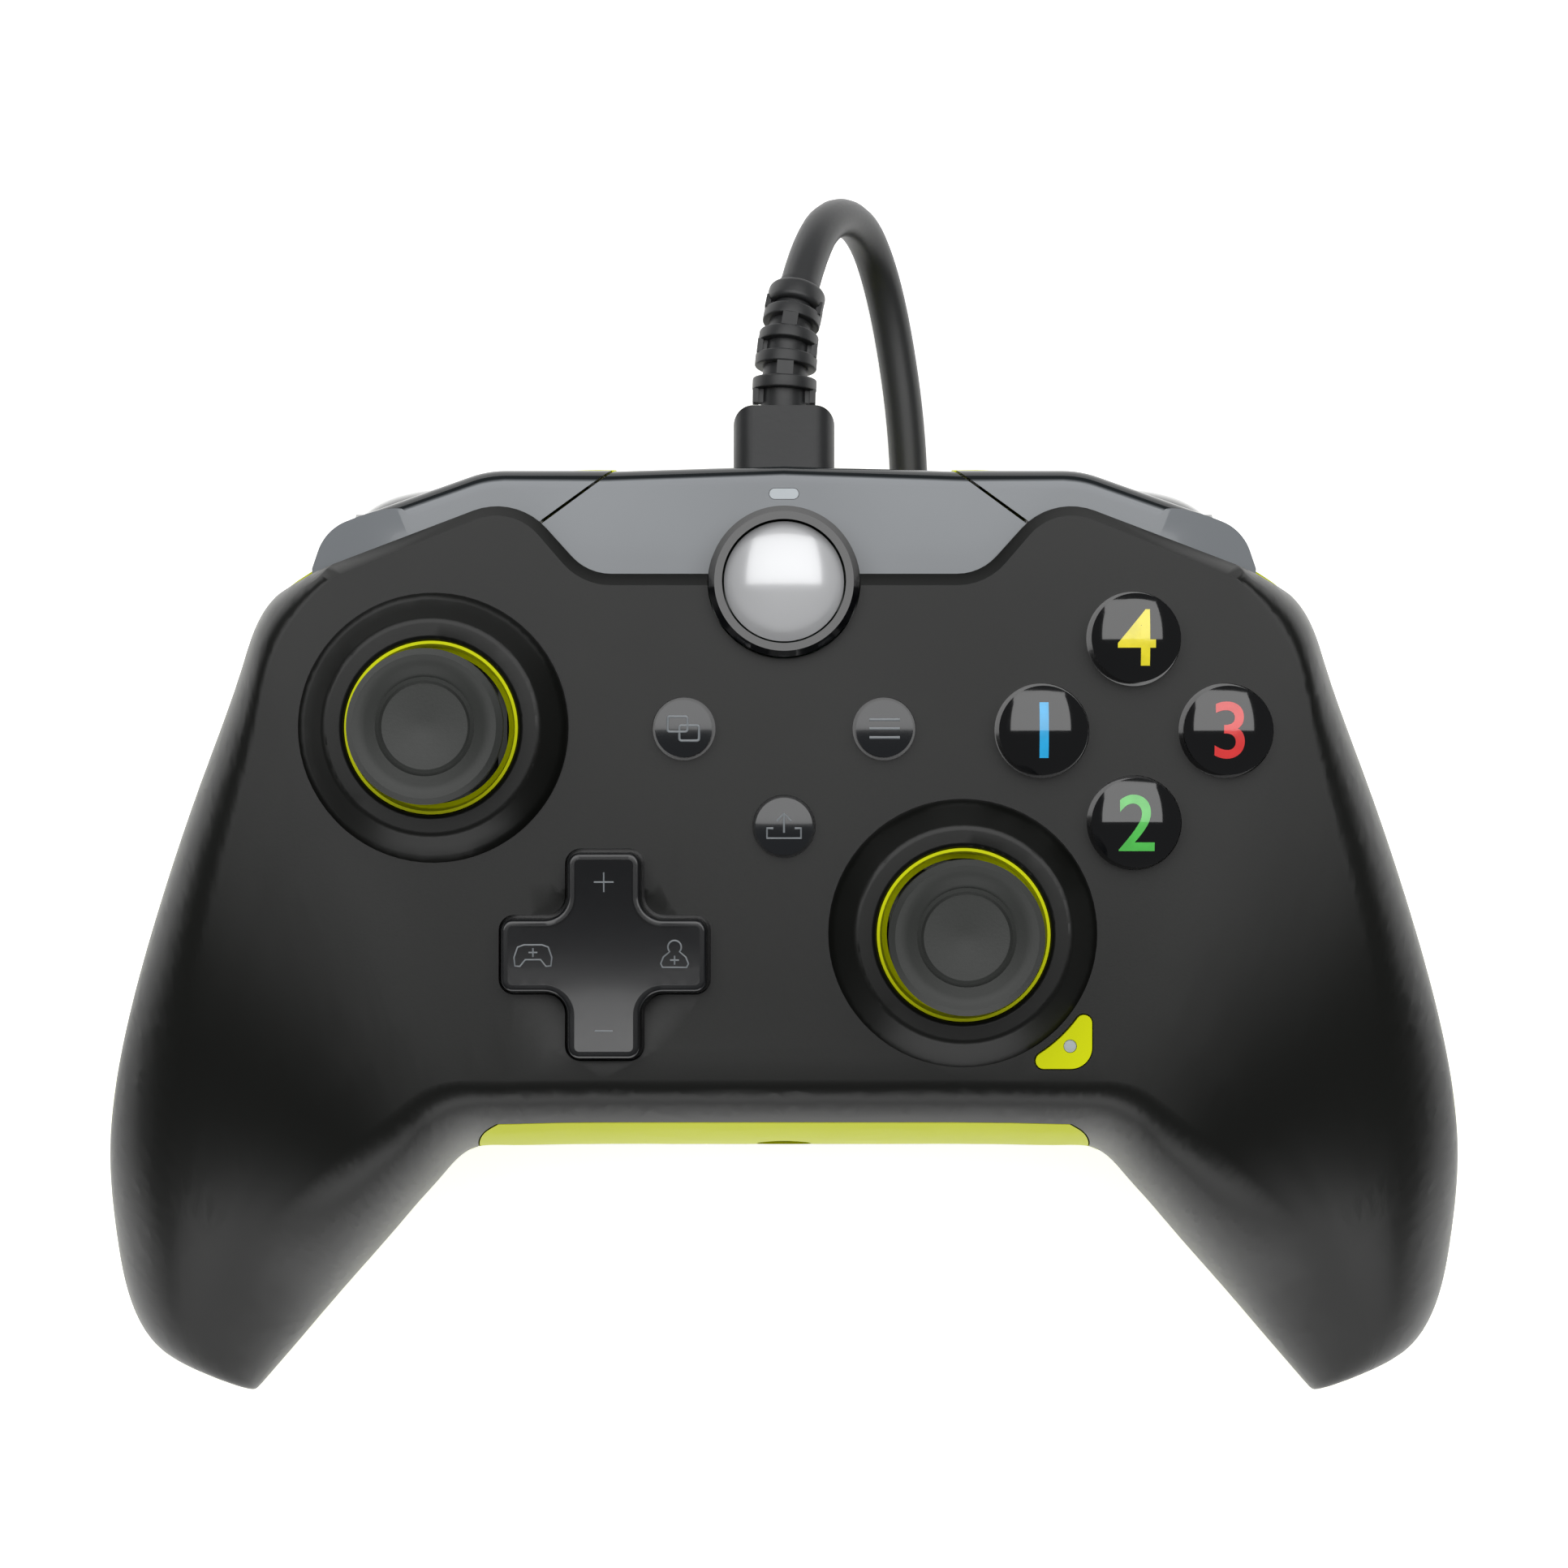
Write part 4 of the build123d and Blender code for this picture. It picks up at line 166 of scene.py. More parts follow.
def darker(shade, share):
    """A screen colour made darker by a share of itself."""
    return [v * (1 - share) for v in shade]


# %% [markdown]
# ## Moulded plastic and rubber
#
# Most of the pad is moulded. Such a surface has two close shades, a fine grain from the steel of
# the mould, and gloss that is a little uneven where hands and tools touched it. One helper makes
# them all, and the size of the grain, the roughness and the clear coat tell them apart. A
# photographed texture could do it too, but it wouldn't sharpen when the camera comes near.


# %% Moulded finishes
PATCH, NOISE_DETAIL, NOISE_MIDDLE = 0.03, 3.0, 0.5
SHADE_FADE, WALL_FADE = (0.35, 0.65), (0.84, 0.94)
PATCH_GLOSS, GRAIN_GLOSS, GRAIN_BUMP = 0.08, 0.04, 0.5


def moulded(name, shade, step, rough, grain, depth, coat=0.0, tint_and_painted_shade=None, **more):
    """Plastic or rubber from its shade, how much darker its second shade is, and its grain."""
    g = Graph(name)
    broad, fine = g.noise(PATCH, NOISE_DETAIL), g.noise(grain, NOISE_DETAIL)
    colour = g.mix(broad.fade(*SHADE_FADE), rgb(*shade), rgb(*[v - step for v in shade]))
    # Walls that face sideways get a darker colour: partly tint, partly painted shade and reflection.
    if tint_and_painted_shade:
        colour = g.mix(g.facing_up().fade(*WALL_FADE), rgb(*tint_and_painted_shade), colour)
    uneven = (broad - NOISE_MIDDLE) * PATCH_GLOSS
    return g.finish(
        colour=colour, rough=rough + uneven + (fine - NOISE_MIDDLE) * GRAIN_GLOSS,
        normal=g.bump(fine, GRAIN_BUMP, depth), coat=coat, **more,
    )


soft_black = moulded("soft_touch_black", (15, 16, 14), 3, 0.36, 0.00022, 0.000008, specular=0.36)
yellow = moulded("bright_yellow_shell", (221, 229, 6), 6, 0.42, 0.00025, 0.000006, specular=0.12)
stick_rubber = moulded("stick_rubber", (52, 54, 52), 4, 0.55, 0.00035, 0.00003)
cord_rubber = moulded("cord_rubber", (46, 47, 48), 5, 0.42, 0.0005, 0.000015)
plug_rubber = moulded("plug_rubber", (44, 45, 46), 5, 0.44, 0.0006, 0.00002)
mechanism = moulded("stick_mechanism", (88, 90, 92), 8, 0.40, 0.0004, 0.00001)
groove_dark = moulded("chip_black", (10, 10, 11), 2, 0.40, 0.0004, 0.00001)
print("moulded finishes so far:", len(bpy.data.materials))

# %% [markdown]
# ## Glossy plastic
#
# The bridge, bumpers, triggers and buttons are polished and lacquered, so each has a clear coat
# over its colour. The smoke grey bridge and bumpers, and the triggers, are given a darker colour
# where they turn down at the edge: partly the tint of the thicker plastic that one looks through
# there, partly painted shade and painted dark reflection on their walls. Volume absorption would
# give the tint too, but it means tracing rays through clear solids, so the colour follows the
# part's own normal.

# %% Glossy finishes
# The last colour of the smoke and trigger finishes is their darker walls: tint plus painted shade.
smoke = moulded("smoke_gloss", (136, 140, 144), 4, 0.12, 0.012, 0.00001, 0.2, (30, 34, 36), specular=0.35)
trigger_gloss = moulded(
    "trigger_gloss", (52, 58, 63), 5, 0.14, 0.008, 0.000008, 0.6, (24, 27, 30), coat_rough=0.05
)
black_gloss = moulded("black_gloss", (12, 13, 15), 3, 0.09, 0.010, 0.000006, 0.7, coat_rough=0.03)
dark_gloss = moulded("button_gloss", (26, 28, 31), 4, 0.13, 0.008, 0.000008, 0.6, coat_rough=0.05)
pad_gloss = moulded("pad_gloss", (22, 23, 25), 3, 0.20, 0.004, 0.000012, 0.4, coat_rough=0.10)
lens = moulded("cloudy_lens", (190, 198, 203), 8, 0.20, 0.002, 0.000004, 0.6)
pearl = moulded("pearl_dome", (214, 215, 217), 12, 0.20, 0.0006, 0.000004, 0.7, coat_rough=0.03, metal=0.25)
mark_grey = moulded("mark_grey", (128, 133, 137), 6, 0.30, 0.0006, 0.000004, 0.4)
print("with the glossy ones:", len(bpy.data.materials))

# %% [markdown]
# ## Metal and the circuit board
#
# Motors, screws, springs and plugs are bare metal. Drawn metal has fine scratches in one
# direction. An anisotropic shader would only stretch the highlights, so noise is stretched along
# the part instead, and drives gloss, tone and bump alike.


# %% Metal finishes
SCRATCH, SCRATCH_STRETCH, SCRATCH_SHADE = 0.0005, 12, 0.12
SCRATCH_GLOSS, SCRATCH_BUMP, SCRATCH_DEPTH = 0.15, 0.2, 0.00001


def metal(name, shade, rough):
    """Drawn metal with long fine scratches."""
    g = Graph(name)
    scratch = g.noise(SCRATCH, stretch=(1, SCRATCH_STRETCH, 1))
    return g.finish(
        colour=g.mix(scratch, rgb(*shade), rgb(*darker(shade, SCRATCH_SHADE))), metal=1.0,
        rough=rough + scratch * SCRATCH_GLOSS, normal=g.bump(scratch, SCRATCH_BUMP, SCRATCH_DEPTH),
    )


steel = metal("steel", (190, 192, 196), 0.23)
board_green = moulded("board_green", (20, 84, 52), 6, 0.35, 0.0008, 0.00001, 0.4)
print("with the metal and the board:", len(bpy.data.materials))

# %% [markdown]
# ## The colours of the numbers
#
# Each face button carries a coloured sign under its clear dome, and here that sign is a plain
# number. The colour sits in lacquer, so it gets a full coat, and a faint painted glow: an emission
# that makes the ink brighter than the lamps alone would. A clear dome over a sunk number would be
# truer, but it costs glass rays on four tiny parts.


# %% Number colours
CLOUD, CLOUD_FADE, CLOUD_SHADE = 0.002, (0.3, 0.7), 0.08
INK_ROUGH, LACQUER_ROUGH, INK_PAINTED_GLOW = 0.3, 0.03, 0.12


def ink(name, shade):
    """Bright ink under clear lacquer, with a faint painted glow."""
    g = Graph(name)
    cloud = g.noise(CLOUD).fade(*CLOUD_FADE)
    colour = g.mix(cloud, rgb(*shade), rgb(*darker(shade, CLOUD_SHADE)))
    # The ink's emission is a painted glow, not a lamp.
    return g.finish(
        colour=colour, rough=INK_ROUGH, coat=1.0, coat_rough=LACQUER_ROUGH, glow=rgb(*shade),
        glow_power=INK_PAINTED_GLOW,
    )


inks = {
    "left": ink("number_blue", (40, 176, 236)), "bottom": ink("number_green", (84, 196, 84)),
    "right": ink("number_red", (222, 58, 58)), "top": ink("number_yellow", (240, 226, 44)),
}
print("finishes:", ", ".join(m.name for m in bpy.data.materials))

# %% [markdown]
# ## Smooth copies of the CAD parts
#
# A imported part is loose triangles, so light breaks at each one. Its shape is right, and only its
# shading has to change. A copy is merged, shaded smooth up to an edge angle, and its normals are
# weighted by face size, so that flat faces stay flat beside their rounded edges. The copy then
# stands for the part, and moves with the part's body.


# %% A smooth copy
bodies = frame["record"]["behaviour"]["bodies"]
body_of = {node: body for body, nodes in bodies.items() for node in nodes}
EDGE_ANGLE, FACE_WEIGHT = math.radians(32), 90
MERGE = 0.01 * MM


def plain_object(name, mesh, material):
    """An object at the origin with one material."""
    mesh.materials.clear()
    mesh.materials.append(material)
    piece = bpy.data.objects.new(name, mesh)
    bpy.context.scene.collection.objects.link(piece)
    return piece


def shade_smooth(mesh):
    """Smooth shading that breaks at sharp edges."""
    for face in mesh.polygons:
        face.use_smooth = True
    mesh.set_sharp_from_angle(angle=EDGE_ANGLE)


def stand_for(piece, node):
    """The piece takes a node's place and body, and the node is hidden."""
    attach(piece, body_of[node])
    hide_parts(node)


def smooth_copy(node, material):
    """A merged, smooth copy of a CAD node that stands for it."""
    mesh = frame["nodes"][node].data.copy()
    work = bmesh.new()
    work.from_mesh(mesh)
    bmesh.ops.remove_doubles(work, verts=work.verts, dist=MERGE)
    bmesh.ops.dissolve_degenerate(work, edges=work.edges, dist=MERGE)
    work.to_mesh(mesh)
    work.free()
    for attribute in ("custom_normal", "sharp_face"):
        if attribute in mesh.attributes:
            mesh.attributes.remove(mesh.attributes[attribute])
    shade_smooth(mesh)
    piece = plain_object(f"{node}_look", mesh, material)
    weighted = piece.modifiers.new("weighted", "WEIGHTED_NORMAL")
    weighted.keep_sharp = True
    weighted.weight = FACE_WEIGHT
    stand_for(piece, node)
    return piece


# %% [markdown]
# ## Which part wears which finish
#
# On the real pad each part is moulded in one finish, so a table can say it all: each finish, and
# the parts that wear it. The strain relief isn't in it, because its ribs are made further down.

# %% Dress the parts
SIDES = ("left", "right")
GIMBAL = ("stick_shaft", "stick_pin", "cross_yoke", "arch_yoke", "stick_frame")
wears = {
    soft_black: ["front_shell"],
    yellow: ["back_shell", "accent_badge", *[f"{side}_well_ring" for side in SIDES]],
    smoke: ["center_bridge", "left_bumper", "right_bumper"],
    trigger_gloss: ["left_trigger", "right_trigger"],
    black_gloss: ["guide_bezel", *[f"face_button_{name}" for name in inks]],
    dark_gloss: ["view_button", "menu_button", "share_button"],
    pad_gloss: ["dpad"],
    pearl: ["guide_button"],
    lens: ["status_lens", "mic_light"],
    stick_rubber: [f"{side}_stick_cap" for side in SIDES],
    cord_rubber: ["cord_tie"],
    plug_rubber: ["cable_plug", "usb_a_grip"],
    board_green: ["main_board"],
    groove_dark: ["headset_jack", "board_chips"],
    steel: [
        "trigger_pins", "trigger_springs", "usb_socket", "shell_screws", "cable_plug_tip", "usb_a_shell",
        *[f"{side}_{name}" for side in SIDES for name in ("motor", "motor_weight")],
    ],
    mechanism: [
        "dpad_hub", "dpad_membrane", "face_membrane", "tact_switches", "stick_sensors",
        *[f"{side}_{name}" for side in SIDES for name in GIMBAL],
    ],
}
copies = {node: smooth_copy(node, material) for material, nodes in wears.items() for node in nodes}
print("dressed parts:", len(copies))

# %% [markdown]
# ## Numbers on the face buttons
#
# On the real pad the sign lies just under the dome of each button. A decal would need an image, and
# a flat text object would cut through the dome, so the number is made a mesh, its long edges are
# split, and each point drops onto the ball that the dome is part of.

# %% Numbers bent to the domes
HALF_WIDTH, HALF_LENGTH = 78 * MM, 54.1 * MM
FACE_MIDDLE = Vector((0.5038 * HALF_WIDTH, 0.4455 * HALF_LENGTH))
FACE_STEP = 10.33 * MM
DOME_TOP, DOME_RADIUS, DOME_RISE = 49.5 * MM, 4.98 * MM, 1.3 * MM
NUMBER_HEIGHT, NUMBER_PIECE, NUMBER_LIFT = 8.9 * MM, 0.4 * MM, 0.03 * MM
BOLDER, SPLIT_ROUNDS = 0.008, 6


def ball_radius(reach, rise):
    """The radius of the ball that a shallow dome or bowl is part of."""
    return (reach**2 + rise**2) / (2 * rise)


def mesh_of(data, name):
    """The plain mesh of a text or a curve, with its maker object removed."""
    maker = bpy.data.objects.new(name, data)
    bpy.context.scene.collection.objects.link(maker)
    bpy.context.view_layer.update()
    mesh = bpy.data.meshes.new_from_object(maker)
    bpy.data.objects.remove(maker)
    return mesh


def split_long_edges(mesh, longest):
    """Halve a flat mesh's long edges, a few times over."""
    work = bmesh.new()
    work.from_mesh(mesh)
    bmesh.ops.remove_doubles(work, verts=work.verts, dist=MERGE / 10)
    bmesh.ops.triangulate(work, faces=work.faces)
    for _ in range(SPLIT_ROUNDS):
        long_edges = [e for e in work.edges if e.calc_length() > longest]
        bmesh.ops.subdivide_edges(work, edges=long_edges, cuts=1)
        bmesh.ops.triangulate(work, faces=work.faces)
    work.to_mesh(mesh)
    work.free()


def number(text, centre, material, body):
    """A number lying on a dome."""
    letter = bpy.data.curves.new(f"number_{text}", "FONT")
    letter.body, letter.size = text, NUMBER_HEIGHT
    letter.align_x, letter.align_y = "CENTER", "CENTER"
    letter.offset, letter.resolution_u = BOLDER * NUMBER_HEIGHT, 10
    mesh = mesh_of(letter, "writer")
    xs, ys = [v.co.x for v in mesh.vertices], [v.co.y for v in mesh.vertices]
    middle = Vector((min(xs) + max(xs), min(ys) + max(ys))) / 2
    split_long_edges(mesh, NUMBER_PIECE)
    ball = ball_radius(DOME_RADIUS, DOME_RISE)
    for vert in mesh.vertices:
        x, y = vert.co.x - middle.x, vert.co.y - middle.y
        height = DOME_TOP - ball + math.sqrt(ball**2 - x * x - y * y)
        vert.co = (centre.x + x, centre.y + y, height + NUMBER_LIFT)
    shade_smooth(mesh)
    piece = plain_object(f"number_{text}_look", mesh, material)
    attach(piece, body)
    print(piece.name, "points:", len(mesh.vertices))


STEPS = (("1", "left", (-1, 0)), ("2", "bottom", (0, -1)), ("3", "right", (1, 0)), ("4", "top", (0, 1)))
for text, name, step in STEPS:
    number(text, FACE_MIDDLE + Vector(step) * FACE_STEP, inks[name], f"face_button_{name}")

# %% [markdown]
# ## Pictures on the small buttons
#
# Three small buttons carry thin line pictures: two windows, a menu, and a tray with an arrow. They
# are plain signs of their kind. Each is a thin round line, half sunk in the button, made from a
# curve with a bevel. A boolean could engrave them instead, but it would cut up the clean top face.


# %% A helper for line pictures
def line_picture(name, lines, height, width, body):
    """Thin raised lines in mm. Each line is a list of points, closed or open."""
    curve = bpy.data.curves.new(name, "CURVE")
    curve.dimensions = "3D"
    curve.bevel_depth, curve.bevel_resolution = width / 2 * MM, 2
    for points, closed in lines:
        spline = curve.splines.new("POLY")
        spline.points.add(len(points) - 1)
        for spot, (x, y) in zip(spline.points, points):
            spot.co = (x * MM, y * MM, height(x, y) * MM, 1)
        spline.use_cyclic_u = closed
    curve.use_fill_caps = True
    mesh = mesh_of(curve, "drawer")
    shade_smooth(mesh)
    piece = plain_object(f"{name}_look", mesh, mark_grey)
    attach(piece, body)
    print(piece.name, "lines:", len(lines))


def shifted(points, place):
    """The same points about another place."""
    return [(x + place[0], y + place[1]) for x, y in points]


def rounded(x0, y0, x1, y1, radius, steps=4):
    """The outline of a box with rounded corners."""
    corners = (
        (x1 - radius, y1 - radius, 0), (x0 + radius, y1 - radius, 90),
        (x0 + radius, y0 + radius, 180), (x1 - radius, y0 + radius, 270),
    )
    turns = [(x, y, start + 90 * i / steps) for x, y, start in corners for i in range(steps + 1)]
    angles = [(x, y, math.radians(degrees)) for x, y, degrees in turns]
    return [(x + radius * math.cos(a), y + radius * math.sin(a)) for x, y, a in angles]


# %% Signs on the three small buttons
SMALL_TOP = 47.13
VIEW_LINE, MENU_LINE, SHARE_LINE = 0.3, 0.34, 0.28


def small_top(x, y):
    """The height of the small buttons' flat tops, the same all over."""
    return SMALL_TOP


VIEW, MENU, SHARE = (-11.25, 24.3), (11.25, 24.3), (0.0, 13.35)
windows = [rounded(-1.75, -0.35, 0.45, 1.35, 0.25), rounded(-0.45, -1.35, 1.75, 0.35, 0.25)]
tray = [(-1.2, -0.2), (-1.9, -0.2), (-1.9, -1.3), (1.9, -1.3), (1.9, -0.2), (1.2, -0.2)]
arrow = [[(0, -0.7), (0, 1.4)], [(-0.8, 0.6), (0, 1.45), (0.8, 0.6)]]
bars = [[(-1.7, y), (1.7, y)] for y in (-1.0, 0.0, 1.0)]
view_lines = [(shifted(box, VIEW), True) for box in windows]
menu_lines = [(shifted(bar, MENU), False) for bar in bars]
share_lines = [(shifted(line, SHARE), False) for line in (tray, *arrow)]
line_picture("view_mark", view_lines, small_top, VIEW_LINE, "view_button")
line_picture("menu_mark", menu_lines, small_top, MENU_LINE, "menu_button")
line_picture("share_mark", share_lines, small_top, SHARE_LINE, "share_button")

# %% [markdown]
# ## Pictures on the direction pad
#
# The pad's top is a shallow bowl, and its four arms carry plus, minus, a game pad and a head with
# shoulders, all outlines. The same helper draws them, with a height that follows the bowl.

# %% Signs in the bowl of the direction pad
PAD = (-20.1, -1.04)
PAD_REACH, PAD_BOWL, PAD_TOP = 11.45, 0.7, 48.9
PAD_BALL = ball_radius(PAD_REACH, PAD_BOWL)
SUNK, PAD_LINE, SMALL_SHARE, HEAD_RADIUS, HEAD_HEIGHT = 0.02, 0.2, 0.45, 0.75, 0.95


def pad_top(x, y):
    """The height of the bowl at a place."""
    away = (x - PAD[0]) ** 2 + (y - PAD[1]) ** 2
    return PAD_TOP - PAD_BOWL + PAD_BALL - math.sqrt(PAD_BALL**2 - away) - SUNK


game_pad = [
    (-2.0, -1.15), (-2.1, -0.2), (-1.7, 0.95), (-1.0, 1.2), (1.0, 1.2), (1.7, 0.95),
    (2.1, -0.2), (2.0, -1.15), (1.45, -1.2), (0.85, -0.45), (-0.85, -0.45), (-1.45, -1.2),
]
turns = np.linspace(-0.75, math.pi + 0.75, 16)
head = [(math.cos(a) * HEAD_RADIUS, HEAD_HEIGHT + math.sin(a) * HEAD_RADIUS) for a in turns]
shoulders = [(-1.25, -0.15), (-1.55, -0.9), (-1.35, -1.3), (1.35, -1.3), (1.55, -0.9), (1.25, -0.15)]
plus = [[(-1.1, 0), (1.1, 0)], [(0, -1.1), (0, 1.1)]]
small_plus = [[(x * SMALL_SHARE, y * SMALL_SHARE) for x, y in line] for line in plus]
minus = [(-1.0, 0), (1.0, 0)]
up, down, left, right = (
    (PAD[0] + x, PAD[1] + y) for x, y in ((0, 8.2), (0, -8.4), (-7.9, 0), (7.9, 0))
)
pad_lines = [(shifted(line, up), False) for line in plus]
pad_lines += [(shifted(minus, down), False), (shifted(game_pad, left), True)]
pad_lines += [(shifted(line, (left[0], left[1] + 0.35)), False) for line in small_plus]
pad_lines += [(shifted(head[::-1] + shoulders[::-1], right), True)]
pad_lines += [(shifted(line, (right[0], right[1] - 0.5)), False) for line in small_plus]
line_picture("pad_marks", pad_lines, pad_top, PAD_LINE, "dpad")

# %% [markdown]
# ## The route of the cord
#
# The cord is 4.6 mm thick and limp. It leaves the strain relief, bends over in one loop, and turns
# back under the pad, where its unseen length is wound in a flat oval coil of two layers. The route
# of the CAD model gives the control points of one smooth NURBS curve, which keeps its length
# within a few millimetres. A simulated cord would settle somewhere else.

# %% Points of the route, in millimetres
LEAD = [
    (1.8, 76.0, 26.5), (3.33, 81.95, 22.93), (6.2, 85.6, 16.7), (9.2, 85.0, 9.8), (11.4, 80.6, 4.5),
    (13.3, 72.8, 2.4), (14.9, 61.5, 2.35), (15.4, 49.2, 2.35), (11.0, 41.3, 2.6), (3.15, 36.9, 2.95),
]
TAIL = [
    (2.0, 36.9, 8.0), (-8.0, 36.6, 11.0), (-18.0, 35.0, 13.1), (-28.0, 29.5, 13.1),
    (-35.5, 20.5, 13.1), (-38.0, 10.0, 13.1), (-35.0, -0.5, 13.3), (-27.0, -9.0, 13.9),
    (-17.5, -12.0, 14.15), (-10.0, -12.0, 14.15),
]
COIL_Y, RUN, PITCH, TURNS, WIDEST, LOW, HIGH = 8.6, 32.0, 5.02, 4, 28.3, 2.95, 8.0


def half_turn(x, y, radius, z, side, pieces=6):
    """Control points round the outside of a half circle, with one at each end."""
    step = math.pi / pieces
    start = math.pi / 2 if side < 0 else -math.pi / 2
    reach = radius / math.cos(step / 2)
    angles = [start + (i + 0.5) * step for i in range(pieces)]
    points = [(x + reach * math.cos(a), y + reach * math.sin(a), z) for a in angles]
    return [(x, y + radius * math.sin(start), z), *points, (x, y - radius * math.sin(start), z)]


coil = []
for turn in range(TURNS):
    wide = WIDEST - turn * PITCH
    coil += half_turn(-RUN / 2, COIL_Y, wide, LOW, -1)
    coil += half_turn(RUN / 2, COIL_Y - PITCH / 2, wide - PITCH / 2, LOW, 1)
level = COIL_Y - PITCH / 2 + WIDEST - (TURNS - 1) * PITCH - PITCH / 2
coil += [(RUN / 4, level, LOW), (-RUN / 4, level, HIGH)]
for turn in reversed(range(TURNS)):
    wide = WIDEST - turn * PITCH
    coil += half_turn(-RUN / 2, COIL_Y - PITCH / 2, wide - PITCH / 2, HIGH, -1)
    coil += half_turn(RUN / 2, COIL_Y, wide, HIGH, 1)
route = LEAD + coil + TAIL
print("points of the route:", len(route))

# %% [markdown]
# ## The cord itself
#
# A rubber cord is one even round line. A mesh tube would need its rings turned by hand, while a
# curve with a round bevel stays evenly thick on any route. Its order is set after its points,
# because set before them it would stay straight between points.

# %% One smooth curve
CORD_RADIUS = 2.3 * MM
curve = bpy.data.curves.new("cord", "CURVE")
curve.dimensions = "3D"
curve.bevel_depth, curve.bevel_resolution, curve.resolution_u = CORD_RADIUS, 6, 6
spline = curve.splines.new("NURBS")
spline.points.add(len(route) - 1)
for spot, point in zip(spline.points, route):
    spot.co = (*[v * MM for v in point], 1)
spline.order_u = 3
spline.use_endpoint_u = True
curve.materials.append(cord_rubber)
cord = bpy.data.objects.new("cord_look", curve)
bpy.context.scene.collection.objects.link(cord)
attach(cord, "pad")
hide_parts("cord_lead", "cord_coil", "cord_tail")
print("cord:", 2 * CORD_RADIUS / MM, "mm thick on", len(spline.points), "points")

# %% [markdown]
# ## A tree of Geometry Nodes
#
# The strain relief repeats the same bar and the same gap along a bent line, which is what Geometry
# Nodes are for. `Rule` makes a tree with named inputs for its sizes, and adds each node with one
# method, as `Graph` does for materials.


# %% A helper for trees
class Rule:
    """A Geometry Nodes tree with named inputs."""

    def __init__(self, name, sizes):
        self.tree = bpy.data.node_groups.new(name, "GeometryNodeTree")
        for label, kind in sizes.items():
            self.tree.interface.new_socket(label, in_out="INPUT", socket_type=f"NodeSocket{kind}")
        self.tree.interface.new_socket("Geometry", in_out="OUTPUT", socket_type="NodeSocketGeometry")
        self.sizes = self.tree.nodes.new("NodeGroupInput").outputs
        self.result = self.tree.nodes.new("NodeGroupOutput").inputs[0]

    def add(self, kind, inputs=(), **settings):
        """A node's first output. A list of sockets all goes into the one slot, as in a join."""
        node = self.tree.nodes.new(kind)
        for key, item in settings.items():
            setattr(node, key, item)
        for key, item in dict(inputs).items():
            for one in item if isinstance(item, list) else [item]:
                if isinstance(one, bpy.types.NodeSocket):
                    self.tree.links.new(one, node.inputs[key])
                else:
                    node.inputs[key].default_value = one
        return node.outputs[0]

    def grow(self, name, values):
        """Run the tree once and return its plain mesh."""
        holder = bpy.data.objects.new(name, bpy.data.meshes.new(name))
        modifier = holder.modifiers.new(name, "NODES")
        modifier.node_group = self.tree
        for item in self.tree.interface.items_tree:
            if item.name in values:
                modifier[item.identifier] = values[item.name]
        bpy.context.scene.collection.objects.link(holder)
        depsgraph = bpy.context.evaluated_depsgraph_get()
        mesh = bpy.data.meshes.new_from_object(holder.evaluated_get(depsgraph), depsgraph=depsgraph)
        bpy.data.objects.remove(holder)
        return mesh


# %% [markdown]
# ## The ribs of the strain relief
#
# A strain relief bends a little at each gap, so the cord never folds at the plug. From the plug on,
# bars alternate with gaps. Every other gap is cut deep at its two sides, and the ones between have
# a small blind window at each side, between the neck and a post. An array modifier repeats one
# piece evenly, so this would take several of them. One tree does it all: it sweeps a neck along
# the line, and sets bars, posts and strips on its points, each a little smaller than the last.

# %% Points along the bent line
ribs = Rule("strain_relief_ribs", {
    "Start": "Vector", "Middle": "Vector", "End": "Vector", "Bars": "Int", "First Bar": "Float",
    "Last Bar": "Float", "First Gap": "Float", "Last Gap": "Float", "Bar Length": "Float",
    "Gap Length": "Float", "Radius": "Float", "Taper": "Float", "Wall": "Float", "Softness": "Float",
    "Cap Softness": "Float", "Cap Length": "Float", "Cap Place": "Float", "Finish": "Material",
})
size = ribs.sizes
TRIM_FROM, TRIM_TO = 4, 5


def number_of(one, other, operation="ADD"):
    """A number worked out inside the tree of the ribs."""
    return ribs.add("ShaderNodeMath", {0: one, 1: other}, operation=operation)


def vector_of(x, y, z):
    """A vector from three numbers or sockets."""
    return ribs.add("ShaderNodeCombineXYZ", {"X": x, "Y": y, "Z": z})


ends = {key: size[key] for key in ("Start", "Middle", "End")}
bent_line = ribs.add("GeometryNodeCurveQuadraticBezier", {**ends, "Resolution": 32})
order = ribs.add("GeometryNodeInputIndex")


def points_on_line(first, last, count):
    """Points at even steps between two lengths along the line, each turned square to it."""
    trim = {"Curve": bent_line, TRIM_FROM: first, TRIM_TO: last}
    part = ribs.add("GeometryNodeTrimCurve", trim, mode="LENGTH")
    spots = ribs.add("GeometryNodeCurveToPoints", {"Curve": part, "Count": count}, mode="COUNT")
    tangent = spots.node.outputs["Tangent"]
    upright = ribs.add("FunctionNodeAlignRotationToVector", {"Vector": tangent}, axis="Z")
    sideways = {"Rotation": upright, "Vector": (1, 0, 0)}
    turned = ribs.add("FunctionNodeAlignRotationToVector", sideways, axis="X", pivot_axis="Z")
    return spots, turned


def set_on(spots, piece, shrink, chosen=True):
    """A piece on every chosen point, made smaller across the line."""
    points, turned = spots
    return ribs.add("GeometryNodeInstanceOnPoints", {
        "Points": points, "Instance": piece, "Rotation": turned, "Selection": chosen,
        "Scale": vector_of(shrink, shrink, 1.0),
    })


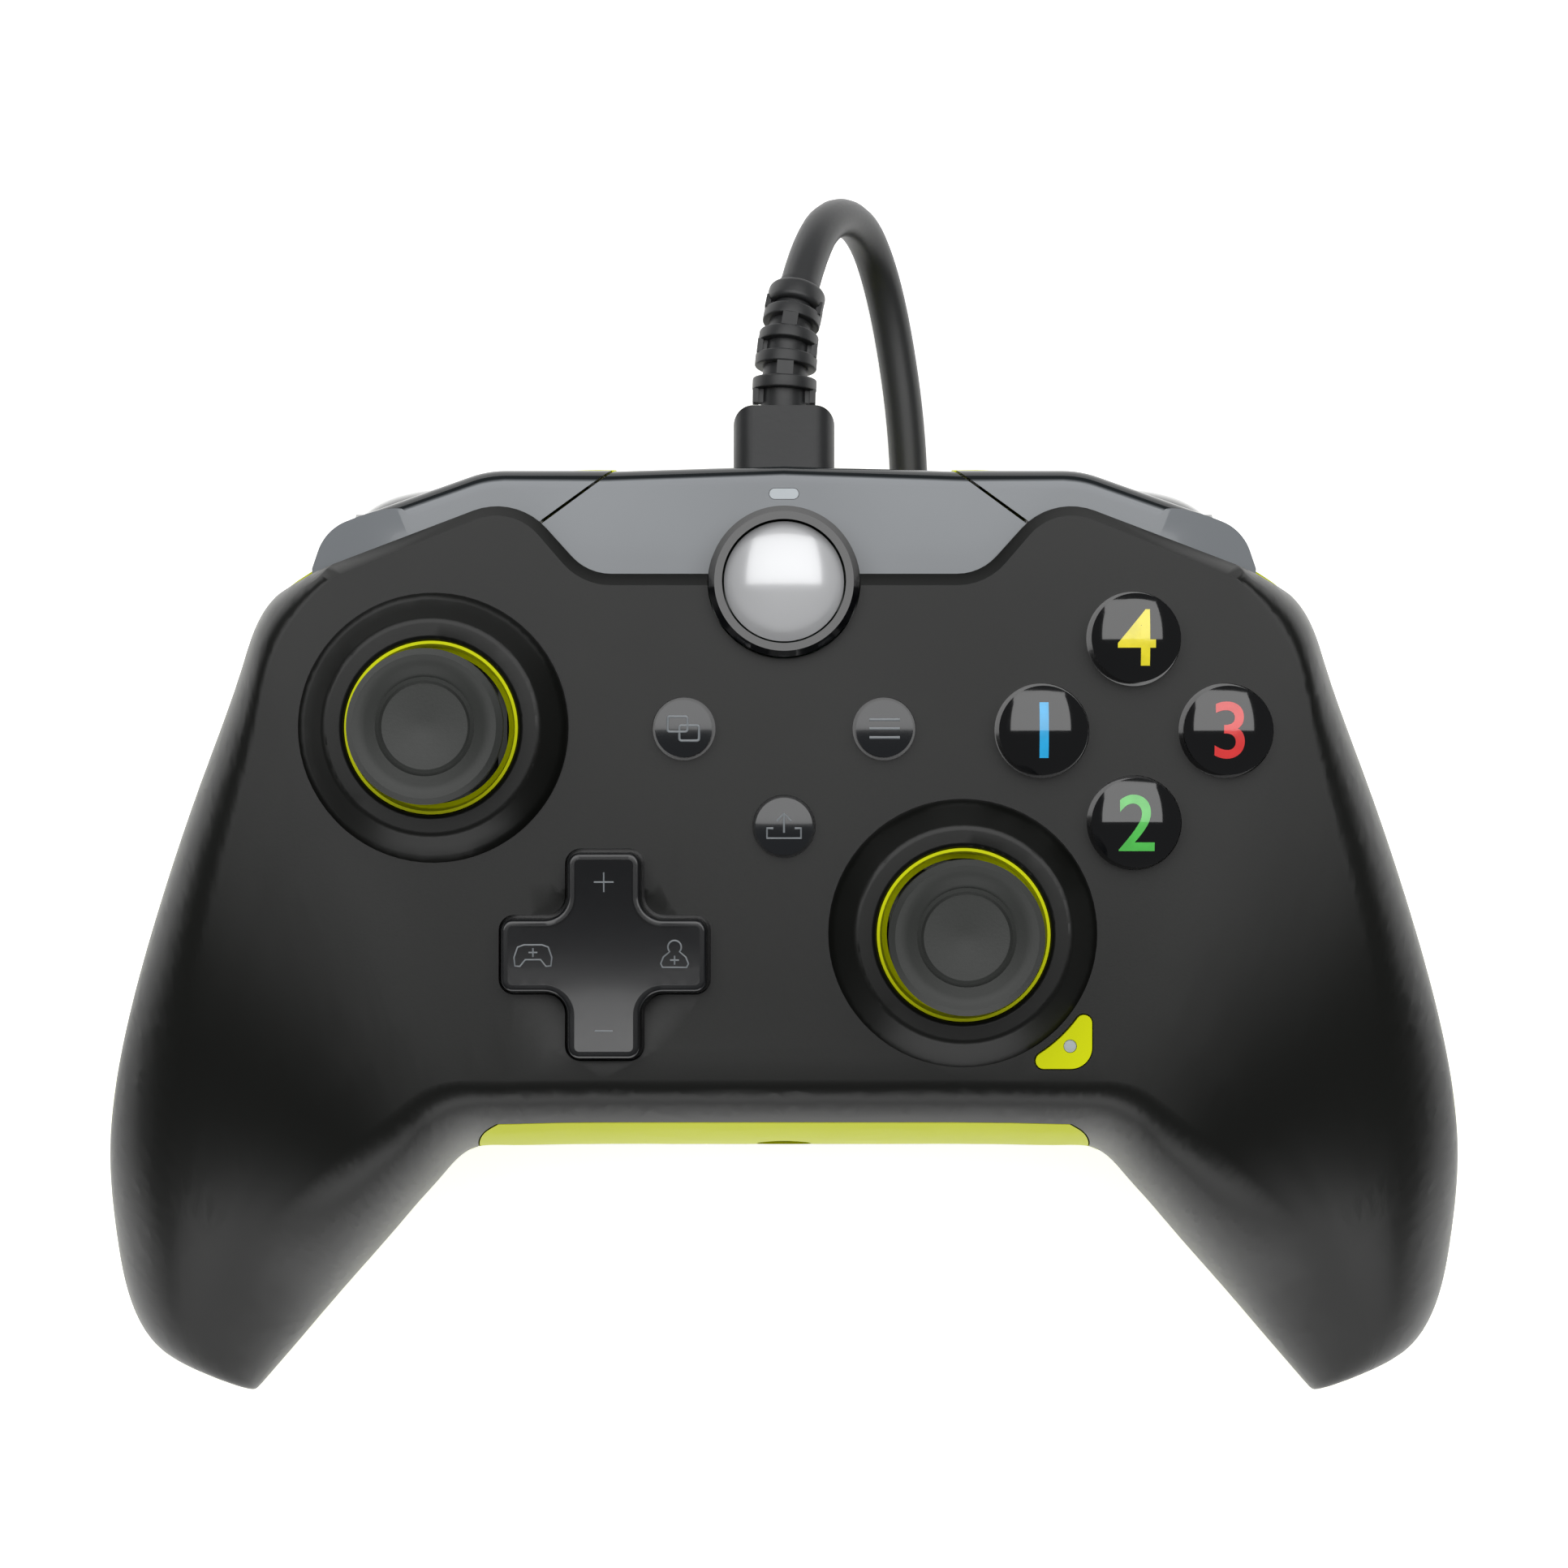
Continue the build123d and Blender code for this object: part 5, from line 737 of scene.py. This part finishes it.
def tapered(reading, last):
    """1 where the reading is 0, falling to the taper at the last reading."""
    inputs = {"Value": reading, "From Max": last, "To Min": 1.0, "To Max": size["Taper"]}
    return ribs.add("ShaderNodeMapRange", inputs)


def along(count):
    """How much smaller the pieces are, from the first to the last."""
    return tapered(order, number_of(count, 1, "SUBTRACT"))


print("nodes in the tree so far:", len(ribs.tree.nodes))

# %% [markdown]
# On the real part bars, posts and strips are one moulding. Bars are rings whose rounded outline is
# swept round a circle, so they need no bevel afterwards. Posts, webs and strips are small blocks
# whose ends are hidden in the bars, so only their long sides show.


# %% Bars, posts and strips
ROUND, SOFT_STEPS = 48, 4


def circle_of(radius):
    return ribs.add("GeometryNodeCurvePrimitiveCircle", {"Resolution": ROUND, "Radius": radius})


def ring(length, softness):
    """A round bar with soft edges: a rounded outline swept round a circle."""
    middle = number_of(size["Radius"], number_of(size["Wall"], 0.5, "MULTIPLY"), "SUBTRACT")
    outline = {"Width": size["Wall"], "Height": length}
    box = ribs.add("GeometryNodeCurvePrimitiveQuadrilateral", outline)
    corner = {"Curve": box, "Radius": softness, "Count": SOFT_STEPS}
    soft = ribs.add("GeometryNodeFilletCurve", corner, mode="POLY")
    return ribs.add("GeometryNodeCurveToMesh", {"Curve": circle_of(middle), "Profile Curve": soft})


def pair_of_blocks(width, depth, away):
    """Two blocks, one on each side of the line, as long as a gap. Shares are of the radius."""
    wide, deep = (number_of(size["Radius"], share, "MULTIPLY") for share in (width, depth))
    block = ribs.add("GeometryNodeMeshCube", {"Size": vector_of(wide, deep, size["Gap Length"])})
    moved = []
    for way in (1, -1):
        x, y = (number_of(size["Radius"], way * share, "MULTIPLY") for share in away)
        shift = {"Geometry": block, "Translation": vector_of(x, y, 0.0)}
        moved.append(ribs.add("GeometryNodeTransform", shift))
    return ribs.add("GeometryNodeJoinGeometry", {"Geometry": moved})


# %% [markdown]
# The whole tree then reads from the plug outwards. The blocks' width, depth and distance from the
# line are shares of the radius.

# %% The whole tree
NECK_SHARE = 0.72
POST, WEB, STRIP = (0.18, 0.80, (0.89, 0.0)), (1.86, 0.30, (0.0, 0.15)), (0.52, 0.30, (0.0, 0.82))
gaps = number_of(size["Bars"], 1)
bar_spots = points_on_line(size["First Bar"], size["Last Bar"], size["Bars"])
gap_spots = points_on_line(size["First Gap"], size["Last Gap"], gaps)
cap_spots = points_on_line(size["Cap Place"], number_of(size["Cap Place"], size["Softness"]), 1)
odd = number_of(order, 2, "MODULO")
even = number_of(1, odd, "SUBTRACT")
narrowing = tapered(ribs.add("GeometryNodeSplineParameter"), 1.0)
neck_radius = number_of(number_of(size["Radius"], NECK_SHARE, "MULTIPLY"), narrowing, "MULTIPLY")
sweep = {"Curve": bent_line, "Profile Curve": circle_of(1.0), "Scale": neck_radius, "Fill Caps": True}
pieces = [
    ribs.add("GeometryNodeCurveToMesh", sweep),
    set_on(bar_spots, ring(size["Bar Length"], size["Softness"]), along(size["Bars"])),
    set_on(cap_spots, ring(size["Cap Length"], size["Cap Softness"]), size["Taper"]),
    set_on(gap_spots, pair_of_blocks(*POST), along(gaps), even),
    set_on(gap_spots, pair_of_blocks(*WEB), along(gaps), even),
    set_on(gap_spots, pair_of_blocks(*STRIP), along(gaps), odd),
]
joined = ribs.add("GeometryNodeJoinGeometry", {"Geometry": pieces})
real = ribs.add("GeometryNodeRealizeInstances", {"Geometry": joined})
done = ribs.add("GeometryNodeSetMaterial", {"Geometry": real, "Material": size["Finish"]})
ribs.tree.links.new(done, ribs.result)
print("nodes in the whole tree:", len(ribs.tree.nodes))

# %% [markdown]
# The line runs where the CAD part lies, about 15 mm from the plug to the cord. Four bars and a
# longer cap follow the real part, on a radius that shrinks from 3.7 mm to 3.3 mm. The tree ends
# by making its copies real, because the export drops instances, and its result is kept as a mesh.

# %% Grow the ribs and set them in place
BARS, FIRST_BAR, BAR_STEP, FIRST_GAP = 4, 2.6 * MM, 2.7 * MM, 1.25 * MM
relief_mesh = ribs.grow("relief", {
    "Start": (0.0, 61.5 * MM, 30.7 * MM), "Middle": (0.0, 69.0 * MM, 30.7 * MM),
    "End": [v * MM for v in route[0]], "Bars": BARS, "First Bar": FIRST_BAR,
    "Last Bar": FIRST_BAR + (BARS - 1) * BAR_STEP, "First Gap": FIRST_GAP,
    "Last Gap": FIRST_GAP + BARS * BAR_STEP, "Bar Length": 1.45 * MM, "Gap Length": 1.6 * MM,
    "Radius": 3.7 * MM, "Taper": 0.9, "Wall": 1.25 * MM, "Softness": 0.2 * MM, "Cap Softness": 0.55 * MM,
    "Cap Length": 2.5 * MM, "Cap Place": 13.3 * MM, "Finish": plug_rubber,
})
work = bmesh.new()
work.from_mesh(relief_mesh)
bmesh.ops.recalc_face_normals(work, faces=work.faces)
work.to_mesh(relief_mesh)
work.free()
shade_smooth(relief_mesh)
relief = plain_object("plug_strain_relief_look", relief_mesh, plug_rubber)
stand_for(relief, "plug_strain_relief")
spans = [[v.co[i] / MM for v in relief_mesh.vertices] for i in range(3)]
spans = [(round(min(span), 1), round(max(span), 1)) for span in spans]
print("strain relief:", len(relief_mesh.polygons), "faces, spans in mm:", spans)

# %% [markdown]
#
# A cord is sold by its length and thickness. Its thickness is set above, and here is the point
# where it leaves the strain relief, in metres.

# %% Where the cord starts
tuple(v * MM for v in route[0])

# %% [markdown]
# ## Floor and surroundings
#
# The pad lies on plain white. More light would make any floor white, but it would bleach the pad
# too. So the floor is a pale matt surface, lifted to white only for the rays that come from the
# camera or a reflection. That lift lights nothing else, and the floor keeps the pad's shadow.

# %% The floor and the world
FLOOR_REACH, FLOOR_DROP, FLOOR_LIFT, SKY_LIGHT = 3.0, 0.2 * MM, 0.75, 0.12
FLOOR_CLOUD, FLOOR_ROUGH = 0.5, 0.9
BLACK, WHITE = rgb(0, 0, 0), rgb(255, 255, 255)
around = ((-1, -1), (1, -1), (1, 1), (-1, 1))
corners = [(x * FLOOR_REACH, y * FLOOR_REACH, -FLOOR_DROP) for x, y in around]
floor_mesh = bpy.data.meshes.new("floor")
floor_mesh.from_pydata(corners, [], [(0, 1, 2, 3)])
pale = Graph("pale_floor")
seen = pale.add("ShaderNodeLightPath", output="Is Camera Ray")
for ray in ("Is Glossy Ray", "Is Transmission Ray"):
    seen = seen + pale.add("ShaderNodeLightPath", output=ray)
tone = pale.mix(pale.noise(FLOOR_CLOUD), rgb(250, 250, 250), rgb(247, 247, 247))
lift = pale.mix(seen, BLACK, WHITE)
pale.finish(colour=tone, rough=FLOOR_ROUGH, glow=lift, glow_power=FLOOR_LIFT)
plain_object("floor", floor_mesh, pale.material)

world = bpy.context.scene.world or bpy.data.worlds.new("world")
bpy.context.scene.world = world
world.use_nodes = True
sky = world.node_tree.nodes["Background"].inputs
sky["Color"].default_value, sky["Strength"].default_value = WHITE, SKY_LIGHT
print("floor and world are set, world strength:", SKY_LIGHT)

# %% [markdown]
# ## The lamps
#
# A product picture is lit by large soft boxes. One broad panel hangs over the cable end: it gives
# the face its fall of light from the bridge to the grips, and the domes their pale upper halves.
# A weak one at the near side lights the grips' walls, which the first leaves dark. Their strength
# was set against the written colours: the grey of the bridge renders a little lighter than that.


# %% Studio panels
def panel(name, place, target, across, power):
    """A broad soft lamp that looks at a target."""
    light = bpy.data.lights.new(name, "AREA")
    light.shape, light.energy = "RECTANGLE", power
    light.size, light.size_y = across
    lamp = bpy.data.objects.new(name, light)
    bpy.context.scene.collection.objects.link(lamp)
    lamp.location = place
    lamp.rotation_euler = (Vector(target) - Vector(place)).to_track_quat("-Z", "Y").to_euler()
    print(name, "watts:", power)


panel("over_cable_end", (0, 0.60, 0.95), (0, 0.55, 0), (1.5, 1.15), 13.5)
panel("near_end", (0, -0.9, 0.36), (0, 0, 0.02), (1.2, 0.4), 3.5)

# %% [markdown]
# ## The camera
#
# The view looks straight down from a good half metre, so low things shrink only a little. A camera
# without perspective would be simpler, but it would hide how the stick caps stand off their
# wells. The focal length follows from the width of the view at that distance.

# %% Camera
PIXELS, MM_PER_PIXEL, EYE = 1932, 0.09428 * MM, (0.0, 0.0181, 0.563)
VIEW_PLANE, SENSOR, NEAREST = 0.536, 36.0, 0.01
camera_data = bpy.data.cameras.new("camera")
camera_data.sensor_width = SENSOR
camera_data.lens = SENSOR * VIEW_PLANE / (PIXELS * MM_PER_PIXEL)
camera_data.clip_start = NEAREST
camera = bpy.data.objects.new("camera", camera_data)
bpy.context.scene.collection.objects.link(camera)
camera.location = EYE
bpy.context.scene.camera = camera
bpy.context.scene.view_settings.view_transform = "Standard"
print("focal length:", round(camera_data.lens, 1), "mm")
